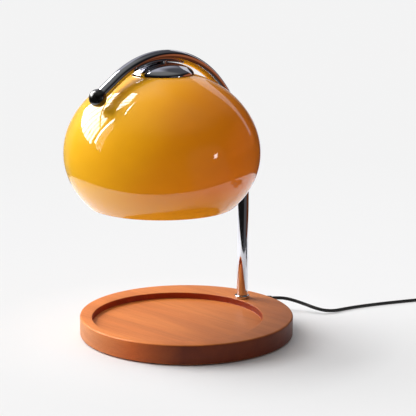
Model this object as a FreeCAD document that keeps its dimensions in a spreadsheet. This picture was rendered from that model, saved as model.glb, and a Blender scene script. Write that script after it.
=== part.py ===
import FreeCAD, Part
import math
import os
import Sketcher
from FreeCAD import Placement, Rotation, Vector

# A candle warmer lamp: a round wooden base with a recess for the candle, a chrome arm that rises at
# the rear and arches over to the front, and a lacquered shade under the top of the arch with a
# halogen bulb that faces down. The lead leaves the base at the rear, lies on the table, passes an
# inline dimmer and ends in a coil and a plug.
# Millimetres. +Z is up, the arm stands at +Y, the arm's tip is at -Y, and the origin is the middle
# of the base's underside.

SIZES = {
    "base": {
        "base_radius": 97.5,
        "base_height": 18.6,
        "base_edge_round": 1.6,
        "recess_depth": 6.0,
        "front_rim": 8.6,
        "rear_land": 31.6,
        "recess_edge_round": 0.9,
        "pad_inset": 3.5,
        "pad_thickness": 1.2,
        "plate_inset": 6.2,
        "plate_thickness": 1.5,
        "plate_gap": 0.2,
        "plate_screw_inset": 11.3,
        "plate_screw_shank_radius": 1.6,
        "plate_screw_head_radius": 3.4,
        "plate_screw_head_height": 1.4,
        "plate_screw_length": 7.5,
        "plate_screw_slot_width": 0.9,
        "plate_screw_tip": 2.0,
        "plate_screw_point": 0.2,
    },
    "arm": {
        "pole_inset": 23.7,
        "tube_radius": 5.25,
        "tube_wall": 1.0,
        "arch_height": 140.5,
        "arch_flank_radius": 124.6,
        "arch_top_radius": 95.6,
        "arch_change": 45.0,
        "arch_past": 33.4,
        "arm_tail": 19.7,
        "fit_gap": 0.05,
        "clamped_wood": 7.1,
        "collar_radius": 7.0,
        "collar_height": 3.3,
        "collar_round": 1.1,
        "pole_washer_radius": 7.5,
        "pole_washer_thickness": 1.0,
        "pole_nut_width": 13.0,
        "pole_nut_thickness": 3.0,
        "thread_over": 0.5,
        "nut_pocket_radius": 10.0,
        "ball_radius": 7.65,
        "ball_hole_depth": 6.5,
        "stud_radius": 2.0,
        "stud_plug_length": 6.0,
        "stud_gap": 0.25,
    },
    "lead": {
        "cord_radius": 1.6,
        "cord_gap": 0.05,
        "exit_height": 11.8,
        "exit_bore_radius": 3.5,
        "lead_gap": 0.1,
        "lead_shaft_width": 8.0,
        "lead_shaft_length": 9.0,
        "lead_shaft_top": 15.5,
        "relief_plug_length": 4.3,
        "relief_flange_radius": 4.6,
        "relief_flange_thickness": 1.5,
        "relief_root_radius": 3.3,
        "relief_tip_radius": 2.15,
        "relief_tail": 12.5,
        "relief_bend": 18.0,
        "lead_inside_height": 4.4,
        "lead_dip_start": 2.3,
        "lead_dip_end": 7.3,
        "lead_turn": 9.2,
    },
    "shade": {
        "shade_radius": 86.7,
        "shade_upper": 72.9,
        "shade_lower": 70.3,
        "shade_drop": 46.8,
        "shade_wall": 1.0,
        "cap_radius": 28.0,
        "cap_height": 10.2,
        "cap_wall": 0.9,
        "cap_gap": 0.05,
        "nipple_radius": 4.0,
        "nipple_wall": 1.0,
        "shade_washer_radius": 9.0,
        "shade_washer_thickness": 1.0,
        "nipple_nut_width": 12.0,
        "nipple_nut_thickness": 3.0,
    },
    "lampholder": {
        "bulb_recess": 27.0,
        "bulb_length": 46.5,
        "bulb_front_radius": 25.0,
        "bulb_rim_height": 5.0,
        "bulb_neck_radius": 11.0,
        "bulb_wall": 1.2,
        "bulb_base_radius": 12.0,
        "bulb_base_height": 13.0,
        "bulb_base_edge": 1.0,
        "lens_thickness": 2.0,
        "capsule_radius": 4.6,
        "capsule_length": 21.0,
        "pin_ring": 5.0,
        "pin_shank_radius": 1.5,
        "pin_head_radius": 2.5,
        "pin_shank_length": 3.0,
        "pin_head_length": 4.0,
        "twist": 30.0,
        "pin_gap": 0.3,
        "holder_radius": 14.0,
        "holder_height": 18.0,
        "holder_face": 2.4,
        "holder_cavity": 5.4,
        "holder_top_recess": 4.0,
        "lead_passage_radius": 2.2,
        "bracket_thickness": 1.2,
        "bracket_radius": 13.2,
        "bracket_screw_ring": 10.2,
        "holder_screw_radius": 1.25,
        "holder_screw_head_radius": 2.2,
        "holder_screw_head_height": 1.6,
        "holder_screw_length": 7.0,
        "contact_thickness": 0.8,
        "contact_width": 3.6,
        "contact_gap": 0.2,
    },
    "dimmer": {
        "dimmer_x": 170.0,
        "dimmer_y": 241.0,
        "dimmer_turn": -20.0,
        "dimmer_length": 66.0,
        "dimmer_width": 28.0,
        "dimmer_split": 7.5,
        "dimmer_height": 16.0,
        "dimmer_wall": 1.6,
        "dimmer_edge_round": 2.4,
        "dimmer_relief": 6.0,
        "dimmer_relief_radius": 3.0,
        "dimmer_relief_tip": 2.2,
        "dimmer_relief_flange": 4.2,
        "dimmer_flange_thickness": 1.2,
        "dial_radius": 10.5,
        "dial_gap": 0.5,
        "dial_height": 6.5,
        "dial_above": 3.6,
        "dial_crown": 0.8,
        "dial_dish": 0.5,
        "dial_floor": 2.0,
        "dial_flutes": 24,
        "dial_flute_radius": 0.7,
        "shaft_radius": 3.0,
        "shaft_gap": 0.05,
        "control_width": 13.0,
        "control_height": 4.2,
        "board_length": 38.0,
        "board_width": 18.0,
        "board_thickness": 1.4,
        "board_height": 3.4,
        "board_rest_length": 4.0,
        "board_rest_ring": 14.0,
        "case_screw_ring": 23.5,
        "case_screw_radius": 1.2,
        "case_screw_head_radius": 2.2,
        "case_screw_head_height": 1.5,
        "case_screw_length": 12.0,
        "case_boss_radius": 3.2,
    },
    "coil and plug": {
        "coil_x": 217.8,
        "coil_y": 199.9,
        "coil_middle_radius": 19.0,
        "turn_pitch": 3.3,
        "turns_across": 3,
        "turns_high": 4,
        "tie_thickness": 0.6,
        "tie_width_angle": 26.0,
        "tie_direction": 327.0,
        "tie_gap": 0.1,
        "plug_x": 162.7,
        "plug_y": 196.2,
        "plug_turn": 160.0,
        "plug_length": 28.0,
        "plug_width": 23.0,
        "plug_thickness": 14.0,
        "plug_corner": 5.5,
        "plug_tail": 8.0,
        "plug_tail_radius": 3.4,
        "plug_tail_tip": 2.2,
        "plug_tail_root": 2.0,
        "plug_edge_round": 2.0,
        "blade_length": 17.0,
        "blade_width": 6.3,
        "blade_thickness": 1.5,
        "blade_spacing": 12.7,
        "blade_hole_radius": 1.6,
        "blade_root": 6.0,
    },
}

# ---------------------------------------------------------------------------------------------
# document and sizes

doc = FreeCAD.newDocument("candle_warmer_lamp")
sheet = doc.addObject("Spreadsheet::Sheet", "sizes")
row = 0
for section, entries in SIZES.items():
    row += 1
    sheet.set(f"A{row}", section)
    for alias, number in entries.items():
        row += 1
        sheet.set(f"A{row}", alias)
        sheet.set(f"B{row}", str(number))
        sheet.setAlias(f"B{row}", alias)
doc.recompute()


def expression(text):
    """Turns each name of a size in braces into a reference to the sheet."""
    return str(text).replace("{", "sizes.").replace("}", "")


def value(text):
    """The number that an expression comes to."""
    return float(sheet.evalExpression(expression(text)))


# heights and places that follow from the sizes
RECESS_RADIUS = "({base_radius}-({front_rim}+{rear_land})/2)"
RECESS_OFFSET = "(({rear_land}-{front_rim})/2)"
PAD_RADIUS = "({base_radius}-{pad_inset})"
PLATE_RADIUS = "({base_radius}-{plate_inset})"
PLATE_SCREW_PLACE = f"(({PLATE_RADIUS}-{{plate_screw_inset}})*cos(45))"
POLE_DISTANCE = "({base_radius}-{pole_inset})"
BOARD_BOTTOM = "{pad_thickness}"
BOARD_TOP = "{base_height}"
PLATE_TOP = f"({BOARD_BOTTOM}+{{plate_thickness}})"
RECESS_FLOOR = f"({BOARD_TOP}-{{recess_depth}})"
POCKET_TOP = f"({BOARD_TOP}-{{clamped_wood}})"
WASHER_BOTTOM = f"({POCKET_TOP}-{{pole_washer_thickness}})"
NUT_BOTTOM = f"({WASHER_BOTTOM}-{{pole_nut_thickness}})"
POLE_END = f"({NUT_BOTTOM}-{{thread_over}})"
ARCH_SHIFT_Y = "(({arch_flank_radius}-{arch_top_radius})*cos({arch_change}))"
ARCH_SHIFT_Z = "(({arch_flank_radius}-{arch_top_radius})*sin({arch_change}))"
ARCH_REACH = f"({{arch_flank_radius}}-{ARCH_SHIFT_Y})"
ARCH_RISE = f"({{arch_top_radius}}+{ARCH_SHIFT_Z})"
SHADE_Y = f"({POLE_DISTANCE}-{ARCH_REACH})"
ARCH_TOP = f"({{arch_height}}+{ARCH_RISE})"
ARM_UNDERSIDE = f"({ARCH_TOP}-{{tube_radius}})"
TIP_BACK = "({arch_top_radius}*sin({arch_past})+{arm_tail}*cos({arch_past}))"
TIP_DROP = "({arch_top_radius}*(1-cos({arch_past}))+{arm_tail}*sin({arch_past}))"
TIP_Y = f"({SHADE_Y}-{TIP_BACK})"
TIP_Z = f"({ARCH_TOP}-{TIP_DROP})"
CAP_SEAT = f"({ARM_UNDERSIDE}-{{cap_gap}}-{{cap_height}})"
SHADE_MIDDLE = (
    f"({CAP_SEAT}-{{cap_gap}}"
    "-{shade_upper}*sqrt(1-(({cap_radius}-{cap_wall})/{shade_radius})^2))"
)
SHADE_RIM = f"({SHADE_MIDDLE}-{{shade_drop}})"
CROWN_INSIDE = (
    f"({SHADE_MIDDLE}+({{shade_upper}}-{{shade_wall}})"
    "*sqrt(1-({shade_washer_radius}/({shade_radius}-{shade_wall}))^2)-{cap_gap})"
)
BULB_FACE = f"({SHADE_RIM}+{{bulb_recess}})"
BULB_TOP = f"({BULB_FACE}+{{bulb_length}})"
HOLDER_BOTTOM = f"({BULB_TOP}+{{pin_gap}})"
HOLDER_TOP = f"({HOLDER_BOTTOM}+{{holder_height}})"
BRACKET_TOP = f"({HOLDER_TOP}+{{bracket_thickness}})"
NIPPLE_END = f"({HOLDER_TOP}-{{nipple_nut_thickness}}-0.5*{{thread_over}})"
CONTACT_HEIGHT = f"({HOLDER_BOTTOM}+{{holder_face}}+{{holder_cavity}}-{{contact_thickness}})"
NIPPLE_BORE = "({nipple_radius}-{nipple_wall})"
TUBE_BORE = "({tube_radius}-{tube_wall})"
LEAD_SHAFT_OUTER = f"({PLATE_RADIUS}-{{lead_gap}})"
LEAD_SHAFT_INNER = f"({LEAD_SHAFT_OUTER}-{{lead_shaft_length}})"

# ---------------------------------------------------------------------------------------------
# builders

parts = {}
X_AXIS = Vector(1, 0, 0)
Z_AXIS = Vector(0, 0, 1)


def bind(obj, **sizes):
    """Ties properties of an object to the sheet; a double underscore stands for a dot."""
    for name, text in sizes.items():
        obj.setExpression(name.replace("__", "."), expression(text))


def place(obj, x="0", y="0", z="0", turn=None, about=Z_AXIS):
    """Puts an object at a place, turned about an axis."""
    if turn is not None:
        obj.Placement = Placement(Vector(), Rotation(about, 1.0))
        bind(obj, Placement__Rotation__Angle=turn)
    bind(obj, Placement__Base__x=x, Placement__Base__y=y, Placement__Base__z=z)
    return obj


def part(node, obj):
    """Names an object as one sub-part of the lamp."""
    obj.Label = node
    parts[node] = obj
    return obj


def new_body(name):
    return doc.addObject("PartDesign::Body", name)


def sketch_on(body, name, plane="XY_Plane", offset="0"):
    """A sketch on one of the body's own planes, moved along the plane's normal."""
    sketch = body.newObject("Sketcher::SketchObject", name)
    planes = {feature.Role: feature for feature in body.Origin.OriginFeatures}
    sketch.AttachmentSupport = [(planes[plane], "")]
    sketch.MapMode = "FlatFace"
    if offset != "0":
        bind(sketch, AttachmentOffset__Base__z=offset)
    return sketch


def pin(sketch, shape, end, across, up):
    """Ties one end of a sketch's line or arc to two expressions."""
    for kind, axis, text in (("DistanceX", -2, across), ("DistanceY", -1, up)):
        if text is None:
            continue
        if text == "0":
            sketch.addConstraint(Sketcher.Constraint("PointOnObject", shape, end, axis))
            continue
        index = sketch.addConstraint(Sketcher.Constraint(kind, shape, end, value(text)))
        bind(sketch, **{f"Constraints[{index}]": text})


def outline(sketch, corners):
    """A closed outline of straight sides through corners, each (across, up)."""
    points = [Vector(value(across), value(up), 0) for across, up in corners]
    first = sketch.GeometryCount
    count = len(points)
    for number in range(count):
        sketch.addGeometry(Part.LineSegment(points[number], points[(number + 1) % count]))
    for number in range(count):
        following = first + (number + 1) % count
        sketch.addConstraint(Sketcher.Constraint("Coincident", first + number, 2, following, 1))
    for number, (across, up) in enumerate(corners):
        pin(sketch, first + number, 1, across, up)


def ring(sketch, radius, across="0", up="0"):
    """A circle in a sketch."""
    centre = Vector(value(across), value(up), 0)
    shape = sketch.addGeometry(Part.Circle(centre, Vector(0, 0, 1), value(radius)))
    pin(sketch, shape, 3, across, up)
    index = sketch.addConstraint(Sketcher.Constraint("Radius", shape, value(radius)))
    bind(sketch, **{f"Constraints[{index}]": radius})


def rectangle(sketch, low_across, high_across, low_up, high_up):
    outline(
        sketch,
        [(low_across, low_up), (high_across, low_up), (high_across, high_up), (low_across, high_up)],
    )


def oval_arc(sketch, half_width, half_height, centre, low, high, high_across=None):
    """The right-hand side of an upright ellipse from height low up to high, or up to where it is
    high_across from the axis. Its first end is the lower one."""
    width, height, middle = value(half_width), value(half_height), value(centre)
    crown = Vector(0, middle + height, 0)
    wide = width >= height
    ends = (Vector(width, middle, 0), crown) if wide else (crown, Vector(-width, middle, 0))
    ellipse = Part.Ellipse(*ends, Vector(0, middle, 0))
    start = math.asin(max(-1.0, min(1.0, (value(low) - middle) / height)))
    if high_across is None:
        end = math.asin(max(-1.0, min(1.0, (value(high) - middle) / height)))
    else:
        end = math.acos(value(high_across) / width)
    if not wide:
        start, end = start - math.pi / 2, end - math.pi / 2
    shape = sketch.addGeometry(Part.ArcOfEllipse(ellipse, start, end))
    sketch.exposeInternalGeometry(shape)
    across_line, up_line = (shape + 1, shape + 2) if wide else (shape + 2, shape + 1)
    pin(sketch, shape, 3, "0", centre)
    far_end = 1 if sketch.Geometry[across_line].StartPoint.x > 0 else 2
    top_end = 1 if sketch.Geometry[up_line].StartPoint.y > middle else 2
    pin(sketch, across_line, far_end, half_width, None)
    pin(sketch, up_line, top_end, None, f"{centre}+{half_height}")
    sketch.addConstraint(Sketcher.Constraint("Horizontal", across_line))
    pin(sketch, shape, 1, None, low)
    pin(sketch, shape, 2, high_across, None if high_across else high)
    return shape


def join(sketch, first, first_end, second, second_end):
    """A straight line between two ends."""
    start = sketch.getPoint(first, first_end)
    end = sketch.getPoint(second, second_end)
    line = sketch.addGeometry(Part.LineSegment(start, end))
    sketch.addConstraint(Sketcher.Constraint("Coincident", line, 1, first, first_end))
    sketch.addConstraint(Sketcher.Constraint("Coincident", line, 2, second, second_end))


def meet(sketch, first, first_end, second, second_end):
    sketch.addConstraint(Sketcher.Constraint("Coincident", first, first_end, second, second_end))


def pad(body, sketch, length):
    feature = body.newObject("PartDesign::Pad", sketch.Name + "_pad")
    feature.Profile = sketch
    bind(feature, Length=length)
    doc.recompute()
    return feature


def pocket(body, sketch, depth, reverse=False):
    """Cuts a sketch into a body and makes sure that the cut takes something away."""
    before = body.Shape.Volume
    feature = body.newObject("PartDesign::Pocket", sketch.Name + "_cut")
    feature.Profile = sketch
    feature.Reversed = reverse
    bind(feature, Length=depth)
    doc.recompute()
    if body.Shape.Volume > before - 1e-3:
        raise RuntimeError(f"{sketch.Name} cuts nothing")
    return feature


def revolve(body, sketch, angle="360", axis="V_Axis"):
    feature = body.newObject("PartDesign::Revolution", sketch.Name + "_turn")
    feature.Profile = sketch
    feature.ReferenceAxis = (sketch, [axis])
    bind(feature, Angle=angle)
    doc.recompute()
    return feature


def around(body, feature, count, name):
    """Repeats a feature about the body's Z axis."""
    axes = {origin.Role: origin for origin in body.Origin.OriginFeatures}
    pattern = body.newObject("PartDesign::PolarPattern", name)
    pattern.Originals = [feature]
    pattern.Axis = (axes["Z_Axis"], [""])
    pattern.Angle = 360
    bind(pattern, Occurrences=count)
    body.Tip = pattern
    doc.recompute()
    return pattern


def soften(body, name, radius, chosen):
    """Rounds the edges that chosen(edge) picks on the body's last feature."""
    tip = body.Tip
    names = [f"Edge{n}" for n, edge in enumerate(tip.Shape.Edges, 1) if chosen(edge)]
    if not names:
        raise RuntimeError(f"{name} finds no edge")
    feature = body.newObject("PartDesign::Fillet", name)
    feature.Base = (tip, names)
    bind(feature, Radius=radius)
    doc.recompute()
    return feature


def circle_at(radius, height, x=None, y=None):
    """Picks full or part circles of a radius at a height."""

    def chosen(edge):
        curve = edge.Curve
        if curve.TypeId != "Part::GeomCircle" or abs(curve.Radius - value(radius)) > 1e-4:
            return False
        centre = curve.Center
        return (
            abs(centre.z - value(height)) < 1e-4
            and (x is None or abs(centre.x - value(x)) < 1e-4)
            and (y is None or abs(centre.y - value(y)) < 1e-4)
        )

    return chosen


def turned(node, corners, x="0", y="0", z="0"):
    """A piece turned about its own Z axis from one outline of (radius, height) corners."""
    body = new_body(node)
    sketch = sketch_on(body, node + "_profile", "XZ_Plane")
    outline(sketch, corners)
    revolve(body, sketch)
    place(body, x, y, z)
    return part(node, body)


def cylinder(name, radius, height, x="0", y="0", z="0", direction=None):
    """A plain cylinder; direction is the way its height runs when it isn't up."""
    shape = doc.addObject("Part::Cylinder", name)
    bind(shape, Radius=radius, Height=height)
    if direction is not None:
        shape.Placement = Placement(Vector(), Rotation(Vector(0, 0, 1), Vector(*direction)))
    bind(shape, Placement__Base__x=x, Placement__Base__y=y, Placement__Base__z=z)
    return shape


def cone(name, low_radius, high_radius, height, x="0", y="0", z="0"):
    shape = doc.addObject("Part::Cone", name)
    bind(shape, Radius1=low_radius, Radius2=high_radius, Height=height)
    bind(shape, Placement__Base__x=x, Placement__Base__y=y, Placement__Base__z=z)
    return shape


def block(name, length, width, height, x, y, z):
    """A box that is centred on x and y and starts at height z."""
    shape = doc.addObject("Part::Box", name)
    bind(shape, Length=length, Width=width, Height=height)
    bind(
        shape,
        Placement__Base__x=f"{x}-({length})/2",
        Placement__Base__y=f"{y}-({width})/2",
        Placement__Base__z=z,
    )
    return shape


def fused(name, shapes):
    union = doc.addObject("Part::MultiFuse", name)
    union.Shapes = shapes
    return union


def minus(name, base, tool):
    result = doc.addObject("Part::Cut", name)
    result.Base = base
    result.Tool = tool
    return result


def group(name, shapes):
    compound = doc.addObject("Part::Compound", name)
    compound.Links = shapes
    return compound


def hexagon(sketch, width):
    """A hexagon about the sketch's origin, width across its flats."""
    corners = []
    for number in range(6):
        corner = f"({width}/2/cos(30))"
        angle = 60 * number
        across = "0" if angle % 180 == 90 else f"{corner}*cos({angle})"
        up = "0" if angle % 180 == 0 else f"{corner}*sin({angle})"
        corners.append((across, up))
    outline(sketch, corners)


def nut(name, width, bore, thickness):
    """A hexagon nut on its own origin."""
    body = new_body(name)
    sketch = sketch_on(body, name + "_outline")
    hexagon(sketch, width)
    ring(sketch, bore)
    pad(body, sketch, thickness)
    return body


# ---------------------------------------------------------------------------------------------
# cords


def rounded_path(points, what, fixed_radii=None):
    """Straight runs joined by tangent arcs, each as large as its two runs allow, or of a fixed
    radius at the corners that fixed_radii numbers."""
    edges = []
    start = points[0]
    radii = []
    for number, (before, corner, after) in enumerate(zip(points, points[1:], points[2:]), 1):
        back, ahead = before - corner, after - corner
        turn = math.pi - back.getAngle(ahead)
        reach = 0.45 * min(back.Length, ahead.Length)
        if fixed_radii and number in fixed_radii:
            reach = fixed_radii[number] * math.tan(turn / 2)
        radii.append(reach / math.tan(turn / 2))
        back.normalize()
        ahead.normalize()
        entry, leave = corner + back * reach, corner + ahead * reach
        inward = back + ahead
        inward.normalize()
        to_centre = radii[-1] / math.cos(turn / 2)
        middle = corner + inward * (to_centre - radii[-1])
        if start.distanceToPoint(entry) > 1e-4:
            edges.append(Part.LineSegment(start, entry).toShape())
        edges.append(Part.Arc(entry, middle, leave).toShape())
        start = leave
    if start.distanceToPoint(points[-1]) > 1e-4:
        edges.append(Part.LineSegment(start, points[-1]).toShape())
    print(what, "bend radii", [round(radius, 1) for radius in radii])
    return Part.Wire(edges)


def swept(path, rings):
    """A solid along a path, through one or more circles."""
    wires = [Part.Wire([Part.Circle(centre, axis, radius).toShape()]) for centre, axis, radius in rings]
    return path.makePipeShell(wires, True, False)


def cord(node, points):
    """A round cord along rounded runs through points."""
    path = rounded_path(points, node)
    start = points[1] - points[0]
    solid = swept(path, [(points[0], start, value("{cord_radius}"))])
    section = math.pi * value("{cord_radius}") ** 2
    print(node, "length", round(path.Length, 1), "volume share", solid.Volume / (section * path.Length))
    feature = doc.addObject("Part::Feature", node)
    feature.Shape = solid
    return part(node, feature)


# ---------------------------------------------------------------------------------------------
# base


def countersunk(name, x, y, gap):
    """The space that one countersunk plate screw takes, grown by a gap."""
    shank = f"{{plate_screw_shank_radius}}+{gap}"
    head = f"{{plate_screw_head_radius}}+{gap}"
    height = "{plate_screw_head_height}"
    top = "{plate_screw_length}-{plate_screw_tip}-{plate_screw_head_height}"
    low = f"{BOARD_BOTTOM}+{height}"
    return [
        cone(name + "_head", head, shank, height, x, y, BOARD_BOTTOM),
        cylinder(name + "_shank", shank, top, x, y, low),
    ]


def plate_screw_places():
    """Where the four plate screws sit, as (name, x, y)."""
    corner = PLATE_SCREW_PLACE
    for number, (left, front) in enumerate([("", ""), ("-", ""), ("-", "-"), ("", "-")], 1):
        yield f"plate_screw_{number}", left + corner, front + corner


def base_board():
    """The turned wooden disc, with its recess, wiring pocket and bores."""
    body = new_body("base_board")
    disc = sketch_on(body, "board_disc", offset=BOARD_BOTTOM)
    ring(disc, "{base_radius}")
    pad(body, disc, f"{BOARD_TOP}-{BOARD_BOTTOM}")
    recess = sketch_on(body, "candle_recess", offset=BOARD_TOP)
    ring(recess, RECESS_RADIUS, "0", "-" + RECESS_OFFSET)
    pocket(body, recess, "{recess_depth}")
    plate = sketch_on(body, "plate_seat", offset=BOARD_BOTTOM)
    ring(plate, f"{PLATE_RADIUS}+{{plate_gap}}")
    pocket(body, plate, "{plate_thickness}", reverse=True)
    nut_room = sketch_on(body, "nut_room", offset=PLATE_TOP)
    ring(nut_room, "{nut_pocket_radius}", "0", POLE_DISTANCE)
    pocket(body, nut_room, f"{POCKET_TOP}-{PLATE_TOP}", reverse=True)
    hole = sketch_on(body, "pole_hole", offset=POCKET_TOP)
    ring(hole, "{tube_radius}+{fit_gap}", "0", POLE_DISTANCE)
    pocket(body, hole, f"{BOARD_TOP}-{POCKET_TOP}", reverse=True)
    shaft = sketch_on(body, "lead_shaft", offset=PLATE_TOP)
    half = "{lead_shaft_width}/2"
    rectangle(shaft, f"-{half}", half, LEAD_SHAFT_INNER, LEAD_SHAFT_OUTER)
    pocket(body, shaft, f"{{lead_shaft_top}}-{PLATE_TOP}", reverse=True)
    bore = sketch_on(body, "exit_bore", "XZ_Plane", f"1-{LEAD_SHAFT_OUTER}")
    ring(bore, "{exit_bore_radius}", "0", "{exit_height}")
    pocket(body, bore, f"{{base_radius}}-{LEAD_SHAFT_OUTER}+3")
    pilot = sketch_on(body, "screw_pilot", offset=PLATE_TOP)
    ring(pilot, "{plate_screw_shank_radius}+{fit_gap}", PLATE_SCREW_PLACE, PLATE_SCREW_PLACE)
    depth = "{plate_screw_length}-{plate_thickness}+{thread_over}"
    around(body, pocket(body, pilot, depth, reverse=True), "4", "screw_pilots")
    soften(body, "recess_lip", "{recess_edge_round}", circle_at(RECESS_RADIUS, BOARD_TOP))
    soften(body, "rim_top", "{base_edge_round}", circle_at("{base_radius}", BOARD_TOP))
    soften(body, "rim_bottom", "{recess_edge_round}", circle_at("{base_radius}", BOARD_BOTTOM))
    part("base_board", body)


def base_plate():
    """The steel plate that closes the underside and weighs the base down."""
    disc = cylinder("plate_disc", PLATE_RADIUS, "{plate_thickness}", z=BOARD_BOTTOM)
    holes = []
    for name, x, y in plate_screw_places():
        holes += countersunk(name + "_hole", x, y, "{fit_gap}")
    part("base_plate", minus("plate", disc, fused("plate_holes", holes)))


def plate_screws():
    """Four countersunk wood screws through the plate into the board."""
    screws = []
    for name, x, y in plate_screw_places():
        shank_top = f"{BOARD_BOTTOM}+{{plate_screw_length}}-{{plate_screw_tip}}"
        tip = cone(
            name + "_tip", "{plate_screw_shank_radius}", "{plate_screw_point}",
            "{plate_screw_tip}", x, y, shank_top,
        )
        slot = block(
            name + "_slot",
            "2*{plate_screw_head_radius}",
            "{plate_screw_slot_width}",
            "{plate_screw_head_height}/2",
            x,
            y,
            BOARD_BOTTOM,
        )
        solid = fused(name + "_blank", countersunk(name, x, y, "0") + [tip])
        screws.append(minus(name, solid, slot))
    part("plate_screws", group("plate_screw_group", screws))


def base_pad():
    """The foam pad that the base rests on, glued over the plate."""
    low_edge = "{pad_thickness}/3"
    turned(
        "base_pad",
        [
            ("0", "0"),
            (f"{PAD_RADIUS}-{low_edge}", "0"),
            (PAD_RADIUS, low_edge),
            (PAD_RADIUS, "{pad_thickness}"),
            ("0", "{pad_thickness}"),
        ],
    )


# ---------------------------------------------------------------------------------------------
# arm


def pole_collar():
    """The chrome ring round the arm's foot."""
    body = new_body("pole_collar")
    section = sketch_on(body, "collar_section", "XZ_Plane")
    rectangle(section, "{tube_radius}+{fit_gap}", "{collar_radius}", "0", "{collar_height}")
    revolve(body, section)
    soften(body, "collar_top", "{collar_round}", circle_at("{collar_radius}", "{collar_height}"))
    soften(body, "collar_foot", "{collar_round}/2", circle_at("{collar_radius}", "0"))
    place(body, "0", POLE_DISTANCE, BOARD_TOP)
    part("pole_collar", body)


def arm_tube():
    """One bent tube: the pole, the rising flank, the arch over the shade and the straight front
    end, with a hole below for the nipple."""
    body = new_body("arm_tube")
    straight = f"({{arch_height}}-{POLE_END})"
    section = sketch_on(body, "tube_section")
    ring(section, "{tube_radius}")
    ring(section, TUBE_BORE)
    path = sketch_on(body, "tube_path", "YZ_Plane")
    tip = (f"-({ARCH_REACH}+{TIP_BACK})", f"{straight}+{ARCH_RISE}-{TIP_DROP}")
    height, flank, top = (
        value(text) for text in (straight, "{arch_flank_radius}", "{arch_top_radius}")
    )
    change, end = (math.radians(value(text)) for text in ("{arch_change}", "90+{arch_past}"))
    flank_circle = Part.Circle(Vector(-flank, height, 0), Z_AXIS, flank)
    top_middle = Vector(-value(ARCH_REACH), height + value(ARCH_SHIFT_Z), 0)
    top_circle = Part.Circle(top_middle, Z_AXIS, top)
    pole = path.addGeometry(Part.LineSegment(Vector(0, 0, 0), Vector(0, height, 0)))
    rising = path.addGeometry(Part.ArcOfCircle(flank_circle, 0, change))
    arch = path.addGeometry(Part.ArcOfCircle(top_circle, change, end))
    tail_end = Vector(value(tip[0]), value(tip[1]), 0)
    tail = path.addGeometry(Part.LineSegment(path.getPoint(arch, 2), tail_end))
    pin(path, pole, 1, "0", "0")
    pin(path, pole, 2, "0", straight)
    meet(path, pole, 2, rising, 1)
    pin(path, rising, 3, "-{arch_flank_radius}", straight)
    pin(path, rising, 2, None, f"{straight}+{{arch_flank_radius}}*sin({{arch_change}})")
    meet(path, rising, 2, arch, 1)
    pin(path, arch, 3, f"-{ARCH_REACH}", f"{straight}+{ARCH_SHIFT_Z}")
    pin(path, arch, 2, f"-({ARCH_REACH}+{{arch_top_radius}}*sin({{arch_past}}))", None)
    meet(path, arch, 2, tail, 1)
    pin(path, tail, 2, *tip)
    pipe = body.newObject("PartDesign::AdditivePipe", "tube_bend")
    pipe.Profile = section
    pipe.Spine = (path, ["Edge1", "Edge2", "Edge3", "Edge4"])
    doc.recompute()
    hole = sketch_on(body, "nipple_hole")
    ring(hole, "{nipple_radius}+{fit_gap}", "0", f"-{ARCH_REACH}")
    pocket(body, hole, f"{straight}+{ARCH_RISE}", reverse=True)
    place(body, "0", POLE_DISTANCE, POLE_END)
    part("arm_tube", body)


def pole_fasteners():
    """The washer and the thin nut that clamp the arm's foot from below."""
    turned(
        "pole_washer",
        [
            ("{tube_radius}+{fit_gap}", "0"),
            ("{pole_washer_radius}", "0"),
            ("{pole_washer_radius}", "{pole_washer_thickness}"),
            ("{tube_radius}+{fit_gap}", "{pole_washer_thickness}"),
        ],
        "0",
        POLE_DISTANCE,
        WASHER_BOTTOM,
    )
    body = nut("pole_nut", "{pole_nut_width}", "{tube_radius}+{fit_gap}", "{pole_nut_thickness}")
    part("pole_nut", place(body, "0", POLE_DISTANCE, NUT_BOTTOM))


def ball_knob():
    """The black ball on the arm's front end, with a flat against the tube and a blind hole."""
    seat = "sqrt({ball_radius}^2-{tube_radius}^2)"
    ball = doc.addObject("Part::Sphere", "ball")
    bind(ball, Radius="{ball_radius}", Angle1=f"-asin({seat}/{{ball_radius}})")
    bind(ball, Placement__Base__z=seat)
    hole = cylinder("ball_hole", "{stud_radius}+{fit_gap}", "{ball_hole_depth}")
    knob = minus("ball_blank", ball, hole)
    part("ball_knob", place(knob, "0", TIP_Y, TIP_Z, "90+{arch_past}", X_AXIS))


def ball_stud():
    """The plug in the arm's end with the thread that holds the ball."""
    plug = f"{TUBE_BORE}-{{stud_gap}}"
    outer = "{ball_hole_depth}-{thread_over}"
    turned(
        "ball_stud",
        [
            ("0", "-{stud_plug_length}"),
            (plug, "-{stud_plug_length}"),
            (plug, "0"),
            ("{stud_radius}", "0"),
            ("{stud_radius}", outer),
            ("0", outer),
        ],
    )
    place(parts["ball_stud"], "0", TIP_Y, TIP_Z, "90+{arch_past}", X_AXIS)


# ---------------------------------------------------------------------------------------------
# shade


def shell_of_ovals(body, name, bands, wall):
    """A turned shell between ellipses and the same ellipses drawn in by the wall. A band is
    (half width, half height, centre, low, high, high_across), and the lowest comes first."""
    sketch = sketch_on(body, name, "XZ_Plane")
    outer = [oval_arc(sketch, *band) for band in bands]
    inner = [
        oval_arc(sketch, f"({width}-{wall})", f"({height}-{wall})", *rest)
        for width, height, *rest in bands
    ]
    join(sketch, outer[0], 1, inner[0], 1)
    join(sketch, outer[-1], 2, inner[-1], 2)
    return revolve(body, sketch)


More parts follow.
